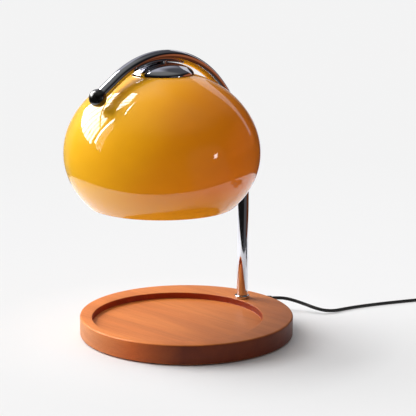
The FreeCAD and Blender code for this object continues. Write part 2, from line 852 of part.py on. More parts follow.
def shade():
    """The spun metal shade: two half ellipsoids, open below at the rim."""
    body = new_body("shade")
    middle = SHADE_MIDDLE
    bands = [
        ("{shade_radius}", "{shade_lower}", middle, SHADE_RIM, middle, None),
        ("{shade_radius}", "{shade_upper}", middle, middle, None, "{nipple_radius}+{fit_gap}"),
    ]
    shell_of_ovals(body, "shade_section", bands, "{shade_wall}")
    part("shade", place(body, "0", SHADE_Y))


def dome_cap():
    """The chrome cap between the shade's crown and the arm."""
    body = new_body("dome_cap")
    hole = "{nipple_radius}+{fit_gap}"
    bands = [("{cap_radius}", "{cap_height}", "0", "0", None, hole)]
    shell_of_ovals(body, "cap_section", bands, "{cap_wall}")
    part("dome_cap", place(body, "0", SHADE_Y, CAP_SEAT))


def nipple():
    """The threaded tube that hangs the shade and the lampholder from the arm."""
    top = f"({ARM_UNDERSIDE}+{{tube_wall}}+{{thread_over}}-{NIPPLE_END})"
    turned(
        "nipple",
        [(NIPPLE_BORE, "0"), ("{nipple_radius}", "0"), ("{nipple_radius}", top), (NIPPLE_BORE, top)],
        "0",
        SHADE_Y,
        NIPPLE_END,
    )


def shade_fasteners():
    """The washer and nut that press the shade and its cap up against the arm."""
    bore = "{nipple_radius}+{fit_gap}"
    thickness = "{shade_washer_thickness}"
    washer = [
        (bore, "0"),
        ("{shade_washer_radius}", "0"),
        ("{shade_washer_radius}", thickness),
        (bore, thickness),
    ]
    turned("shade_washer", washer, "0", SHADE_Y, f"{CROWN_INSIDE}-{thickness}")
    body = nut("shade_nut", "{nipple_nut_width}", bore, "{nipple_nut_thickness}")
    low = f"{CROWN_INSIDE}-{thickness}-{{nipple_nut_thickness}}"
    part("shade_nut", place(body, "0", SHADE_Y, low))


# ---------------------------------------------------------------------------------------------
# lampholder


def holder_bracket():
    """The steel disc that carries the lampholder on the nipple."""
    disc = cylinder("bracket_disc", "{bracket_radius}", "{bracket_thickness}")
    holes = [cylinder("bracket_bore", "{nipple_radius}+{fit_gap}", "{bracket_thickness}")]
    for side in ("", "-"):
        x = side + "{bracket_screw_ring}"
        radius = "{holder_screw_radius}+{fit_gap}"
        holes.append(cylinder("bracket_screw_hole", radius, "{bracket_thickness}", x))
    bracket = minus("bracket", disc, fused("bracket_holes", holes))
    part("holder_bracket", place(bracket, "0", SHADE_Y, HOLDER_TOP))


def bracket_nuts():
    """Two nuts on the nipple, above and below the bracket."""
    nuts = []
    for name, height in (
        ("upper_nut", BRACKET_TOP),
        ("lower_nut", f"{HOLDER_TOP}-{{nipple_nut_thickness}}"),
    ):
        body = nut(name, "{nipple_nut_width}", "{nipple_radius}+{fit_gap}", "{nipple_nut_thickness}")
        nuts.append(place(body, "0", SHADE_Y, height))
    part("bracket_nuts", group("bracket_nut_pair", nuts))


def bent_slot(sketch, middle, half_width, turn):
    """A slot that follows a circle about the origin, from minus turn to a round end at zero."""
    end = math.radians(value(turn))
    arcs = []
    for radius in (f"({middle}+{half_width})", f"({middle}-{half_width})"):
        circle = Part.Circle(Vector(), Z_AXIS, value(radius))
        arc = sketch.addGeometry(Part.ArcOfCircle(circle, -end, 0))
        pin(sketch, arc, 3, "0", "0")
        pin(sketch, arc, 2, radius, "0")
        pin(sketch, arc, 1, None, f"-{radius}*sin({turn})")
        arcs.append(arc)
    round_end = Part.Circle(Vector(value(middle), 0, 0), Z_AXIS, value(half_width))
    cap = sketch.addGeometry(Part.ArcOfCircle(round_end, 0, math.pi))
    meet(sketch, cap, 1, arcs[0], 2)
    meet(sketch, cap, 2, arcs[1], 2)
    pin(sketch, cap, 3, None, "0")
    join(sketch, arcs[0], 1, arcs[1], 1)


def lampholder():
    """The ceramic twist-lock holder, open below for the bulb's two pins."""
    body = new_body("lampholder")
    block_sketch = sketch_on(body, "holder_block")
    ring(block_sketch, "{holder_radius}")
    pad(body, block_sketch, "{holder_height}")
    nut_recess = sketch_on(body, "nut_recess", offset="{holder_height}")
    ring(nut_recess, "{nipple_nut_width}/2/cos(30)+2*{pin_gap}")
    pocket(body, nut_recess, "{holder_top_recess}")
    head_room = sketch_on(body, "head_room", offset="{holder_face}")
    ring(head_room, "{pin_ring}+{pin_head_radius}+2*{pin_gap}")
    pocket(body, head_room, "{holder_cavity}", reverse=True)
    passage = sketch_on(body, "lead_passage", offset="{holder_face}")
    ring(passage, "{lead_passage_radius}")
    pocket(body, passage, "{holder_height}-{holder_face}", reverse=True)
    screw = sketch_on(body, "holder_screw_hole", offset="{holder_height}")
    ring(screw, "{holder_screw_radius}", "{bracket_screw_ring}")
    depth = "{holder_screw_length}-{bracket_thickness}+{thread_over}"
    around(body, pocket(body, screw, depth), "2", "holder_screw_holes")
    slot = sketch_on(body, "twist_slot")
    bent_slot(slot, "{pin_ring}", "({pin_shank_radius}+{pin_gap})", "{twist}")
    around(body, pocket(body, slot, "{holder_face}", reverse=True), "2", "twist_slots")
    entry = sketch_on(body, "entry_hole")
    x, y = "{pin_ring}*cos({twist})", "-{pin_ring}*sin({twist})"
    ring(entry, "{pin_head_radius}+{pin_gap}", x, y)
    around(body, pocket(body, entry, "{holder_face}", reverse=True), "2", "entry_holes")
    part("lampholder", place(body, "0", SHADE_Y, HOLDER_BOTTOM))


def holder_screws():
    """Two screws that hold the lampholder to its bracket."""
    screws = []
    for number, side in enumerate(("", "-"), 1):
        x = side + "{bracket_screw_ring}"
        low = f"{BRACKET_TOP}-{{holder_screw_length}}"
        shank = cylinder(
            f"holder_screw_{number}_shank", "{holder_screw_radius}", "{holder_screw_length}", x,
            SHADE_Y, low,
        )
        head = cylinder(
            f"holder_screw_{number}_head", "{holder_screw_head_radius}",
            "{holder_screw_head_height}", x, SHADE_Y, BRACKET_TOP,
        )
        screws.append(fused(f"holder_screw_{number}", [shank, head]))
    part("holder_screws", group("holder_screw_pair", screws))


def holder_contacts():
    """Two brass strips above the pins, one for each conductor."""
    strips = []
    reach = "({pin_ring}+{pin_head_radius}-{contact_thickness})"
    for number, side in enumerate(("", "-"), 1):
        strips.append(
            block(
                f"contact_{number}", reach, "{contact_width}", "{contact_thickness}",
                f"{side}({{contact_thickness}}+{reach}/2)", SHADE_Y, CONTACT_HEIGHT,
            )
        )
    part("holder_contacts", group("contact_pair", strips))


# ---------------------------------------------------------------------------------------------
# bulb


def bulb_reflector():
    """The coated glass cup, wide at the front and drawn in to the base."""
    body = new_body("bulb_reflector")
    neck_height = "({bulb_length}-{bulb_base_height})"
    rise = f"({neck_height}-{{bulb_rim_height}})"
    half_height = f"({rise}/sqrt(1-({{bulb_neck_radius}}/{{bulb_front_radius}})^2))"
    inner_radius = "({bulb_front_radius}-{bulb_wall})"
    sketch = sketch_on(body, "reflector_section", "XZ_Plane")
    rim = "{bulb_rim_height}"
    outer = oval_arc(
        sketch, "{bulb_front_radius}", half_height, rim, rim, None, "{bulb_neck_radius}"
    )
    inner = oval_arc(
        sketch, inner_radius, f"({half_height}-{{bulb_wall}})", rim, rim, neck_height
    )
    front = [("{bulb_front_radius}", "0"), (inner_radius, "0")]
    line = sketch.addGeometry(
        Part.LineSegment(*[Vector(value(across), value(up), 0) for across, up in front])
    )
    for end, (across, up) in enumerate(front, 1):
        pin(sketch, line, end, across, up)
    join(sketch, line, 1, outer, 1)
    join(sketch, line, 2, inner, 1)
    join(sketch, outer, 2, inner, 2)
    revolve(body, sketch)
    part("bulb_reflector", place(body, "0", SHADE_Y, BULB_FACE))


def bulb_base():
    """The bulb's ceramic base."""
    low = "({bulb_length}-{bulb_base_height})"
    edge = "{bulb_base_edge}"
    turned(
        "bulb_base",
        [
            ("0", low),
            ("{bulb_base_radius}", low),
            ("{bulb_base_radius}", "{bulb_length}-" + edge),
            ("{bulb_base_radius}-" + edge, "{bulb_length}"),
            ("0", "{bulb_length}"),
        ],
        "0",
        SHADE_Y,
        BULB_FACE,
    )


def bulb_lens():
    """The front glass inside the reflector's rim."""
    radius = "{bulb_front_radius}-{bulb_wall}-{fit_gap}"
    turned(
        "bulb_lens",
        [("0", "0"), (radius, "0"), (radius, "{lens_thickness}"), ("0", "{lens_thickness}")],
        "0",
        SHADE_Y,
        BULB_FACE,
    )


def bulb_capsule():
    """The small halogen capsule on the base, inside the reflector."""
    top = "({bulb_length}-{bulb_base_height})"
    turned(
        "bulb_capsule",
        [
            ("0", f"{top}-{{capsule_length}}"),
            ("0.55*{capsule_radius}", f"{top}-0.97*{{capsule_length}}"),
            ("{capsule_radius}", f"{top}-0.82*{{capsule_length}}"),
            ("{capsule_radius}", f"{top}-0.3*{{capsule_length}}"),
            ("0.6*{capsule_radius}", top),
            ("0", top),
        ],
        "0",
        SHADE_Y,
        BULB_FACE,
    )


def bulb_pins():
    """The two headed pins on top of the base."""
    pins = []
    for number, side in enumerate(("", "-"), 1):
        x = side + "{pin_ring}"
        low = BULB_TOP
        shank = cylinder(
            f"pin_{number}_shank", "{pin_shank_radius}", "{pin_shank_length}", x, SHADE_Y, low
        )
        head = cylinder(
            f"pin_{number}_head", "{pin_head_radius}", "{pin_head_length}", x, SHADE_Y,
            f"{low}+{{pin_shank_length}}",
        )
        pins.append(fused(f"pin_{number}", [shank, head]))
    part("bulb_pins", group("pin_pair", pins))


# ---------------------------------------------------------------------------------------------
# lead inside the lamp and its strain relief


def relief_bend_points():
    """The strain relief's centre line: its root, the corner of its bend and its tip."""
    root = Vector(0, value("{base_radius}+{relief_flange_thickness}"), value("{exit_height}"))
    angle = value("{relief_tail}") / value("{relief_bend}")
    reach = value("{relief_bend}") * math.tan(angle / 2)
    corner = root + Vector(0, reach, 0)
    tip = corner + Vector(math.sin(angle), math.cos(angle), 0) * reach
    return root, corner, tip


def cord_relief():
    """The tapered strain relief in the board's rear bore, bent the way that the cord leaves."""
    root, corner, tip = relief_bend_points()
    radius = value("{relief_bend}")
    path = rounded_path([root, corner, tip], "cord_relief", {1: radius})
    heading = tip - corner
    tail = swept(
        path,
        [(root, corner - root, value("{relief_root_radius}")),
         (tip, heading, value("{relief_tip_radius}"))],
    )
    rear = Vector(0, 1, 0)
    plug_length = value("{relief_plug_length}")
    seat = Vector(0, value("{base_radius}") - plug_length, root.z)
    plug = Part.makeCylinder(value("{exit_bore_radius}-{fit_gap}"), plug_length, seat, rear)
    flange_start = Vector(0, value("{base_radius}"), root.z)
    thickness = value("{relief_flange_thickness}")
    flange = Part.makeCylinder(value("{relief_flange_radius}"), thickness, flange_start, rear)
    bore_radius = value("{cord_radius}+{cord_gap}")
    bend_bore = swept(path, [(root, rear, bore_radius)])
    straight = Part.makeCylinder(bore_radius, root.y - seat.y, seat, rear)
    solid = tail.fuse([plug, flange]).cut(bend_bore).cut(straight).removeSplitter()
    feature = doc.addObject("Part::Feature", "cord_relief")
    feature.Shape = solid
    part("cord_relief", feature)


def inner_lead():
    """The lead inside the lamp: from the relief's tip through the board, up the arm, over the
    arch and down the nipple to the lampholder."""
    root, corner, tip = relief_bend_points()
    low = value("{lead_inside_height}")
    shaft_y = value(LEAD_SHAFT_OUTER)
    pole_y, shade_y = value(POLE_DISTANCE), value(SHADE_Y)
    arch_z, apex_z = value("{arch_height}"), value(ARCH_TOP)
    flank, top = value("{arch_flank_radius}"), value("{arch_top_radius}")
    change = value("{arch_change}")
    turn = value("{lead_turn}")
    turn_z = apex_z - turn**2 / (2 * top)
    points = [
        tip,
        corner,
        Vector(0, shaft_y - value("{lead_dip_start}"), root.z),
        Vector(0, shaft_y - value("{lead_dip_end}"), low),
        Vector(0, pole_y, low),
    ]
    arcs = [
        (pole_y - flank, arch_z, flank, 0, change),
        (shade_y, apex_z - top, top, change, 90),
    ]
    for middle_y, middle_z, radius, start, end in arcs:
        step = (end - start) / 4
        reach = radius / math.cos(math.radians(step))
        for angle in (math.radians(start + step), math.radians(end - step)):
            across, up = reach * math.cos(angle), reach * math.sin(angle)
            points.append(Vector(0, middle_y + across, middle_z + up))
    points.append(Vector(0, shade_y + turn, turn_z))
    points.append(Vector(0, shade_y, turn_z))
    end_z = value(f"{CONTACT_HEIGHT}+{{contact_thickness}}+{{contact_gap}}")
    points.append(Vector(0, shade_y, end_z))
    path = rounded_path(points, "inner_lead", {1: value("{relief_bend}")})
    solid = swept(path, [(tip, corner - tip, value("{cord_radius}"))])
    feature = doc.addObject("Part::Feature", "inner_lead")
    feature.Shape = solid
    part("inner_lead", feature)


# ---------------------------------------------------------------------------------------------
# dimmer


def in_dimmer(obj):
    return place(obj, "{dimmer_x}", "{dimmer_y}", "0", "{dimmer_turn}")


def stadium(sketch, length, width):
    """A closed outline with straight sides and half-round ends."""
    half, radius = f"(({length})-({width}))/2", f"({width})/2"
    reach, rise = value(half), value(radius)
    low = sketch.addGeometry(Part.LineSegment(Vector(-reach, -rise, 0), Vector(reach, -rise, 0)))
    high = sketch.addGeometry(Part.LineSegment(Vector(reach, rise, 0), Vector(-reach, rise, 0)))
    quarter = math.pi / 2
    right_circle = Part.Circle(Vector(reach, 0, 0), Z_AXIS, rise)
    left_circle = Part.Circle(Vector(-reach, 0, 0), Z_AXIS, rise)
    right = sketch.addGeometry(Part.ArcOfCircle(right_circle, -quarter, quarter))
    left = sketch.addGeometry(Part.ArcOfCircle(left_circle, quarter, 3 * quarter))
    for line, side in ((low, "-"), (high, "")):
        for end in (1, 2):
            across = "-" if (line == low) == (end == 1) else ""
            pin(sketch, line, end, across + half, side + radius)
    meet(sketch, low, 2, right, 1)
    meet(sketch, right, 2, high, 1)
    meet(sketch, high, 2, left, 1)
    meet(sketch, left, 2, low, 1)
    pin(sketch, right, 3, half, None)
    pin(sketch, left, 3, "-" + half, None)


def relief_notches(body, name):
    """Round notches at both ends for the cord reliefs."""
    depth = "({dimmer_wall}+3)"
    notch = sketch_on(body, name, "YZ_Plane", f"{{dimmer_length}}/2-{depth}")
    ring(notch, "{dimmer_relief_radius}+{fit_gap}", "0", "{dimmer_split}")
    around(body, pocket(body, notch, f"{depth}+1", reverse=True), "2", name + "_pair")


def dimmer_lower_case():
    """The dimmer's lower half, with screw bosses and rests for the circuit board."""
    body = new_body("dimmer_lower_case")
    outside = sketch_on(body, "lower_outside")
    stadium(outside, "{dimmer_length}", "{dimmer_width}")
    pad(body, outside, "{dimmer_split}")
    soften(
        body, "lower_edge", "{dimmer_edge_round}*0.7",
        lambda edge: edge.BoundBox.ZMax < 1e-6,
    )
    inside = sketch_on(body, "lower_inside", offset="{dimmer_wall}")
    stadium(inside, "{dimmer_length}-2*{dimmer_wall}", "{dimmer_width}-2*{dimmer_wall}")
    pocket(body, inside, "{dimmer_split}-{dimmer_wall}", reverse=True)
    boss = sketch_on(body, "lower_boss", offset="{dimmer_wall}/2")
    ring(boss, "{case_boss_radius}", "{case_screw_ring}")
    around(body, pad(body, boss, "{dimmer_split}-{dimmer_wall}/2"), "2", "lower_bosses")
    rest = sketch_on(body, "board_rest", offset="{dimmer_wall}/2")
    low = "{board_rest_ring}-{board_rest_length}/2"
    high = "{board_rest_ring}+{board_rest_length}/2"
    rectangle(rest, low, high, "-{board_width}/3", "{board_width}/3")
    around(body, pad(body, rest, "{board_height}-{dimmer_wall}/2"), "2", "board_rests")
    relief_notches(body, "lower_notch")
    head = sketch_on(body, "screw_head_hole")
    ring(head, "{case_screw_head_radius}+{fit_gap}", "{case_screw_ring}")
    depth = "{case_screw_head_height}+{thread_over}"
    around(body, pocket(body, head, depth, reverse=True), "2", "screw_head_holes")
    shank = sketch_on(body, "screw_hole")
    ring(shank, "{case_screw_radius}+{fit_gap}", "{case_screw_ring}")
    around(body, pocket(body, shank, "{dimmer_split}", reverse=True), "2", "screw_holes")
    part("dimmer_lower_case", in_dimmer(body))


def dimmer_upper_case():
    """The dimmer's upper half, with a round opening for the dial."""
    body = new_body("dimmer_upper_case")
    tall = "({dimmer_height}-{dimmer_split})"
    outside = sketch_on(body, "upper_outside", offset="{dimmer_split}")
    stadium(outside, "{dimmer_length}", "{dimmer_width}")
    pad(body, outside, tall)
    top = value("{dimmer_height}")
    soften(
        body, "upper_edge", "{dimmer_edge_round}", lambda edge: edge.BoundBox.ZMin > top - 1e-6
    )
    inside = sketch_on(body, "upper_inside", offset="{dimmer_split}")
    stadium(inside, "{dimmer_length}-2*{dimmer_wall}", "{dimmer_width}-2*{dimmer_wall}")
    pocket(body, inside, f"{tall}-{{dimmer_wall}}", reverse=True)
    boss = sketch_on(body, "upper_boss", offset="{dimmer_split}")
    ring(boss, "{case_boss_radius}", "{case_screw_ring}")
    around(body, pad(body, boss, f"{tall}-{{dimmer_wall}}/2"), "2", "upper_bosses")
    relief_notches(body, "upper_notch")
    opening = sketch_on(body, "dial_opening", offset="{dimmer_split}")
    ring(opening, "{dial_radius}+{dial_gap}")
    pocket(body, opening, f"{tall}", reverse=True)
    shank = sketch_on(body, "screw_thread_hole", offset="{dimmer_split}")
    ring(shank, "{case_screw_radius}+{fit_gap}", "{case_screw_ring}")
    depth = f"{{case_screw_length}}+{{thread_over}}+{{thread_over}}-{{dimmer_split}}"
    around(body, pocket(body, shank, depth, reverse=True), "2", "screw_thread_holes")
    part("dimmer_upper_case", in_dimmer(body))


def dimmer_insides():
    """The circuit board and the rotary control that stands on it."""
    board = block(
        "board_blank", "{board_length}", "{board_width}", "{board_thickness}", "0", "0",
        "{board_height}",
    )
    part("dimmer_board", in_dimmer(group("board_group", [board])))
    top = "({board_height}+{board_thickness})"
    case = block(
        "control_blank", "{control_width}", "{control_width}", "{control_height}", "0", "0", top
    )
    hole = cylinder(
        "control_hole", "{shaft_radius}+{shaft_gap}", "{control_height}", z=f"{top}+{{shaft_gap}}"
    )
    part("dimmer_control", in_dimmer(minus("control_case", case, hole)))


def dimmer_dial():
    """The knurled dial and the control's shaft that turns with it."""
    body = new_body("dimmer_dial")
    low = "({dimmer_height}+{dial_above}-{dial_height})"
    top = "({dimmer_height}+{dial_above})"
    section = sketch_on(body, "dial_section", "XZ_Plane")
    dish = "{dial_dish}"
    crown = "{dial_crown}"
    outline(
        section,
        [
            ("0", low),
            ("{dial_radius}", low),
            ("{dial_radius}", f"{top}-{crown}"),
            ("{dial_radius}-" + crown, top),
            ("{dial_radius}-3*" + crown, top),
            ("{dial_radius}-4*" + crown, f"{top}-{dish}"),
            ("0", f"{top}-{dish}"),
        ],
    )
    revolve(body, section)
    bore = sketch_on(body, "dial_bore", offset=low)
    ring(bore, "{shaft_radius}+{shaft_gap}")
    pocket(body, bore, "{dial_height}-{dial_floor}", reverse=True)
    flute = sketch_on(body, "dial_flute", offset=low)
    ring(flute, "{dial_flute_radius}", "{dial_radius}+0.3*{dial_flute_radius}")
    around(body, pocket(body, flute, "{dial_height}", reverse=True), "{dial_flutes}", "dial_grip")
    part("dimmer_dial", in_dimmer(body))
    foot = "({board_height}+{board_thickness}+3*{shaft_gap})"
    tall = f"{low}+{{dial_height}}-{{dial_floor}}-2*{{shaft_gap}}-{foot}"
    shaft = cylinder("shaft_blank", "{shaft_radius}", tall, z=foot)
    part("dimmer_shaft", in_dimmer(group("shaft_group", [shaft])))


def dimmer_screws():
    """Two screws that hold the dimmer's halves together."""
    screws = []
    for number, side in enumerate(("", "-"), 1):
        x = side + "{case_screw_ring}"
        low = "{thread_over}"
        head = cylinder(
            f"case_screw_{number}_head", "{case_screw_head_radius}", "{case_screw_head_height}",
            x, "0", low,
        )
        shank = cylinder(
            f"case_screw_{number}_shank", "{case_screw_radius}", "{case_screw_length}", x, "0", low
        )
        screws.append(fused(f"case_screw_{number}", [head, shank]))
    part("dimmer_screws", in_dimmer(group("case_screw_pair", screws)))


def dimmer_reliefs():
    """The two short reliefs that the cord enters at the dimmer's ends."""
    reliefs = []
    face = "{dimmer_length}/2"
    for number, side in enumerate((1, -1), 1):
        way = (side, 0, 0)
        sign = "" if side > 0 else "-"
        neck_length = "({dimmer_wall}+2*{dimmer_flange_thickness})"
        start = f"{sign}({face}-{neck_length})"
        flange = cylinder(
            f"relief_{number}_flange", "{dimmer_relief_flange}", "{dimmer_flange_thickness}",
            start, "0", "{dimmer_split}", way,
        )
        neck = cylinder(
            f"relief_{number}_neck", "{dimmer_relief_radius}", neck_length, start, "0",
            "{dimmer_split}", way,
        )
        tail = doc.addObject("Part::Cone", f"relief_{number}_tail")
        tail.Placement = Placement(Vector(), Rotation(Z_AXIS, Vector(*way)))
        bind(
            tail,
            Radius1="{dimmer_relief_radius}",
            Radius2="{dimmer_relief_tip}",
            Height="{dimmer_relief}",
            Placement__Base__x=sign + face,
            Placement__Base__z="{dimmer_split}",
        )
        reliefs.append(fused(f"relief_{number}", [flange, neck, tail]))
    part("dimmer_reliefs", in_dimmer(group("relief_pair", reliefs)))


# ---------------------------------------------------------------------------------------------
# coil, tie and plug

COIL_HALF = "({turns_across}*{turn_pitch}/2)"
COIL_HEIGHT = "({turns_high}*{turn_pitch})"


def cord_coil():
    """The outer shape of the wound-up length: a ring with a rounded square section."""
    body = new_body("cord_coil")
    section = sketch_on(body, "coil_section", "XZ_Plane")
    low, high = f"({{coil_middle_radius}}-{COIL_HALF})", f"({{coil_middle_radius}}+{COIL_HALF})"
    rectangle(section, low, high, "0", COIL_HEIGHT)
    revolve(body, section)
    soften(
        body, "coil_edges", "{cord_radius}*0.8",
        lambda edge: edge.Curve.TypeId == "Part::GeomCircle",
    )
    part("cord_coil", place(body, "{coil_x}", "{coil_y}", "{tie_thickness}"))


def coil_tie():
    """The tie round the coil: a flat band that lies under it and over it."""
    body = new_body("coil_tie")
    section = sketch_on(body, "tie_section", "XZ_Plane")
    middle = "{coil_middle_radius}"
    for grown in ("{tie_gap}", "{tie_thickness}"):
        reach = f"({COIL_HALF}+{grown})"
        rectangle(
            section, f"{middle}-{reach}", f"{middle}+{reach}", f"-{grown}", f"{COIL_HEIGHT}+{grown}"
        )
    revolve(body, section, "{tie_width_angle}")
    part("coil_tie", place(body, "{coil_x}", "{coil_y}", "{tie_thickness}", "{tie_direction}"))


def in_plug(obj):
    return place(obj, "{plug_x}", "{plug_y}", "0", "{plug_turn}")


def plug_blade_blocks(name, gap):
    """Both blades, grown by a gap, as boxes in the plug's own frame."""
    blades = []
    for number, side in enumerate(("", "-"), 1):
        length = "({blade_length}+{blade_root})"
        blades.append(
            block(
                f"{name}_{number}", length, f"{{blade_thickness}}+2*{gap}",
                f"{{blade_width}}+2*{gap}",
                f"({{plug_length}}/2-{{blade_root}}+{length}/2)",
                f"{side}({{blade_spacing}}/2)",
                f"({{plug_thickness}}-{{blade_width}})/2-{gap}",
            )
        )
    return blades


def plug_body():
    """The moulded plug with its tapered tail."""
    body = new_body("plug_moulding")
    outside = sketch_on(body, "plug_outside")
    half_length, half_width = "{plug_length}/2", "{plug_width}/2"
    rectangle(outside, f"-{half_length}", half_length, f"-{half_width}", half_width)
    pad(body, outside, "{plug_thickness}")
    soften(
        body, "plug_corners", "{plug_corner}",
        lambda edge: edge.BoundBox.ZLength > value("{plug_thickness}") - 1e-6,
    )
    soften(
        body, "plug_edges", "{plug_edge_round}", lambda edge: edge.BoundBox.ZLength < 1e-6
    )
    tail = doc.addObject("Part::Cone", "plug_tail")
    tail.Placement = Placement(Vector(), Rotation(Z_AXIS, Vector(-1, 0, 0)))
    bind(
        tail,
        Radius1="{plug_tail_radius}+{plug_tail_root}/2",
        Radius2="{plug_tail_tip}",
        Height="{plug_tail}+{plug_tail_root}",
        Placement__Base__x="-{plug_length}/2+{plug_tail_root}",
        Placement__Base__z="{plug_thickness}/2",
    )
    moulding = fused("plug_solid", [body, tail])
    slots = fused("blade_slots", plug_blade_blocks("blade_slot", "{fit_gap}"))
    part("plug_body", in_plug(minus("plug", moulding, slots)))


def plug_blades():
    """Two flat blades, each with a round hole near its tip."""
    blades = []
    for number, blank in enumerate(plug_blade_blocks("blade", "0"), 1):
        side = "" if number == 1 else "-"
        hole = cylinder(
            f"blade_hole_{number}", "{blade_hole_radius}", "4*{blade_thickness}",
            "{plug_length}/2+{blade_length}-2.5*{blade_hole_radius}",
            f"{side}({{blade_spacing}}/2)-2*{{blade_thickness}}",
            "{plug_thickness}/2",
            (0, 1, 0),
        )
        blades.append(minus(f"blade_{number}_cut", blank, hole))
    part("plug_blades", in_plug(group("blade_pair", blades)))


# ---------------------------------------------------------------------------------------------
# the free cord


def heading(turn):
    angle = math.radians(value(turn))
    return Vector(math.cos(angle), math.sin(angle), 0)


def lamp_cord():
    """From the base, down to the table and round to the dimmer."""
    root, corner, tip = relief_bend_points()
    middle = Vector(value("{dimmer_x}"), value("{dimmer_y}"), value("{dimmer_split}"))
    entry = middle - heading("{dimmer_turn}") * value("{dimmer_length}/2+{dimmer_relief}")
    laid = [
        (7.4, 114.4, 11.9),
        (12.2, 120.5, 11.4),
        (21.1, 125.3, 9.8),
        (30.7, 129.3, 7.4),
        (41.5, 132.2, 5.0),
        (49.1, 137.8, 3.0),
        (53.7, 147.0, 1.9),
        (55.6, 160.0, 1.7),
        (59.7, 175.4, 1.7),
        (69.6, 201.4, 1.7),
        (82.4, 228.9, 1.7),
        (90.3, 244.8, 1.7),
        (98.9, 252.9, 2.4),
        (110.2, 257.5, 4.7),
        (122.07, 258.44, 7.5),
    ]
    cord("lamp_cord", [tip] + [Vector(*point) for point in laid] + [entry])


def dimmer_cord():
    """From the dimmer into the coil's lowest outer turn."""
    middle = Vector(value("{dimmer_x}"), value("{dimmer_y}"), value("{dimmer_split}"))
    leave = middle + heading("{dimmer_turn}") * value("{dimmer_length}/2+{dimmer_relief}")
    laid = [(213.7, 225.1, 7.5), (225.0, 221.0, 2.3), (233.6, 215.6, 2.3)]
    cord("dimmer_cord", [leave] + [Vector(*point) for point in laid])


def plug_cord():
    """From the coil's top outer turn down to the plug."""
    middle = Vector(value("{plug_x}"), value("{plug_y}"), value("{plug_thickness}/2"))
    entry = middle - heading("{plug_turn}") * value("{plug_length}/2+{plug_tail}")
    laid = [(219.7, 177.7, 12.1), (210.2, 178.9, 12.1), (203.6, 181.3, 12.1), (190.4, 186.1, 7.0)]
    cord("plug_cord", [Vector(*point) for point in laid] + [entry])


# ---------------------------------------------------------------------------------------------
# build, check and write

BUILDERS = [
    base_board,
    base_plate,
    plate_screws,
    base_pad,
    pole_collar,
    arm_tube,
    pole_fasteners,
    ball_knob,
    ball_stud,
    shade,
    dome_cap,
    nipple,
    shade_fasteners,
    holder_bracket,
    bracket_nuts,
    lampholder,
    holder_screws,
    holder_contacts,
    bulb_reflector,
    bulb_base,
    bulb_lens,
    bulb_capsule,
    bulb_pins,
    cord_relief,
    inner_lead,
    dimmer_lower_case,
    dimmer_upper_case,
    dimmer_insides,
    dimmer_dial,
    dimmer_screws,
    dimmer_reliefs,
    cord_coil,
    coil_tie,
    plug_body,
    plug_blades,
    lamp_cord,
    dimmer_cord,
    plug_cord,
]

for build in BUILDERS:
    build()
doc.recompute()

for obj in doc.Objects:
    if "Invalid" in obj.State or "Error" in obj.State:
        raise RuntimeError(f"{obj.Name} failed: {obj.State}")
for node, obj in parts.items():
    if obj.Shape.isNull() or not obj.Shape.isValid() or not obj.Shape.Solids:
        raise RuntimeError(f"{node} has no valid solid")

os.makedirs("parts", exist_ok=True)
for node, obj in parts.items():
    obj.Shape.exportStep(f"parts/{node}.step")
print(len(parts), "parts")
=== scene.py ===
import math

import bmesh
import bpy
from mathutils import Matrix, Vector


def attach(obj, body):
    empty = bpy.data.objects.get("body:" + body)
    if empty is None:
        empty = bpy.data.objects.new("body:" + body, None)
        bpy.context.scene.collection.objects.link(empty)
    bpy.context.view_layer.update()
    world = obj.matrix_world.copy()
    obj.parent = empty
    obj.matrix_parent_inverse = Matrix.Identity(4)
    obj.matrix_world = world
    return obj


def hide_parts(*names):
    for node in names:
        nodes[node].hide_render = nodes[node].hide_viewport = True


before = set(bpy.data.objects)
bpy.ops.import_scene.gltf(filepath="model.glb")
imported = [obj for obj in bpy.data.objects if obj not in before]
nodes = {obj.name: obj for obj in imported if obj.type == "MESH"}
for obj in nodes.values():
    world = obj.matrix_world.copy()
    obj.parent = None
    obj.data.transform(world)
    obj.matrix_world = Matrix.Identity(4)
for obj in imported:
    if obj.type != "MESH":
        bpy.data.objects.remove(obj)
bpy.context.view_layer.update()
scene = bpy.context.scene
scene.view_settings.view_transform = "Standard"

MM = 0.001

# ---------------------------------------------------------------------------------------------
# sizes of the lamp, in millimetres, as in the construction; the lamp is symmetric about x = 0

# base board, with the recess for the jar and the seat of the steel plate below
BASE_RADIUS = 97.5
BASE_TOP = 18.6
BASE_BOTTOM = 1.2
RECESS_RADIUS = 77.4
RECESS_OFFSET = 11.5
RECESS_FLOOR = 12.6
PLATE_SEAT_RADIUS = 91.5
PLATE_SEAT_TOP = 2.7

# arm: an upright pole, a wide arc for the flank, a tighter one over the top, a straight tail
POLE_Y = 73.8
TUBE_RADIUS = 5.25
TUBE_BORE = 4.25
POLE_END = 7.0
ARCH_Z = 140.5
FLANK_RADIUS = 124.6
TOP_RADIUS = 95.6
ARCH_CHANGE = 45.0
ARCH_PAST = 33.4
ARM_TAIL = 19.7
MIDDLES_APART = FLANK_RADIUS - TOP_RADIUS
SHADE_Y = POLE_Y - FLANK_RADIUS + MIDDLES_APART * math.cos(math.radians(ARCH_CHANGE))
TOP_MIDDLE = ARCH_Z + MIDDLES_APART * math.sin(math.radians(ARCH_CHANGE))
COLLAR_RADIUS = 7.0
COLLAR_HEIGHT = 3.3
COLLAR_GAP = 0.05
COLLAR_FOOT_ROUND = 0.5
COLLAR_TOP_ROUND = 1.2
BALL_RADIUS = 7.65

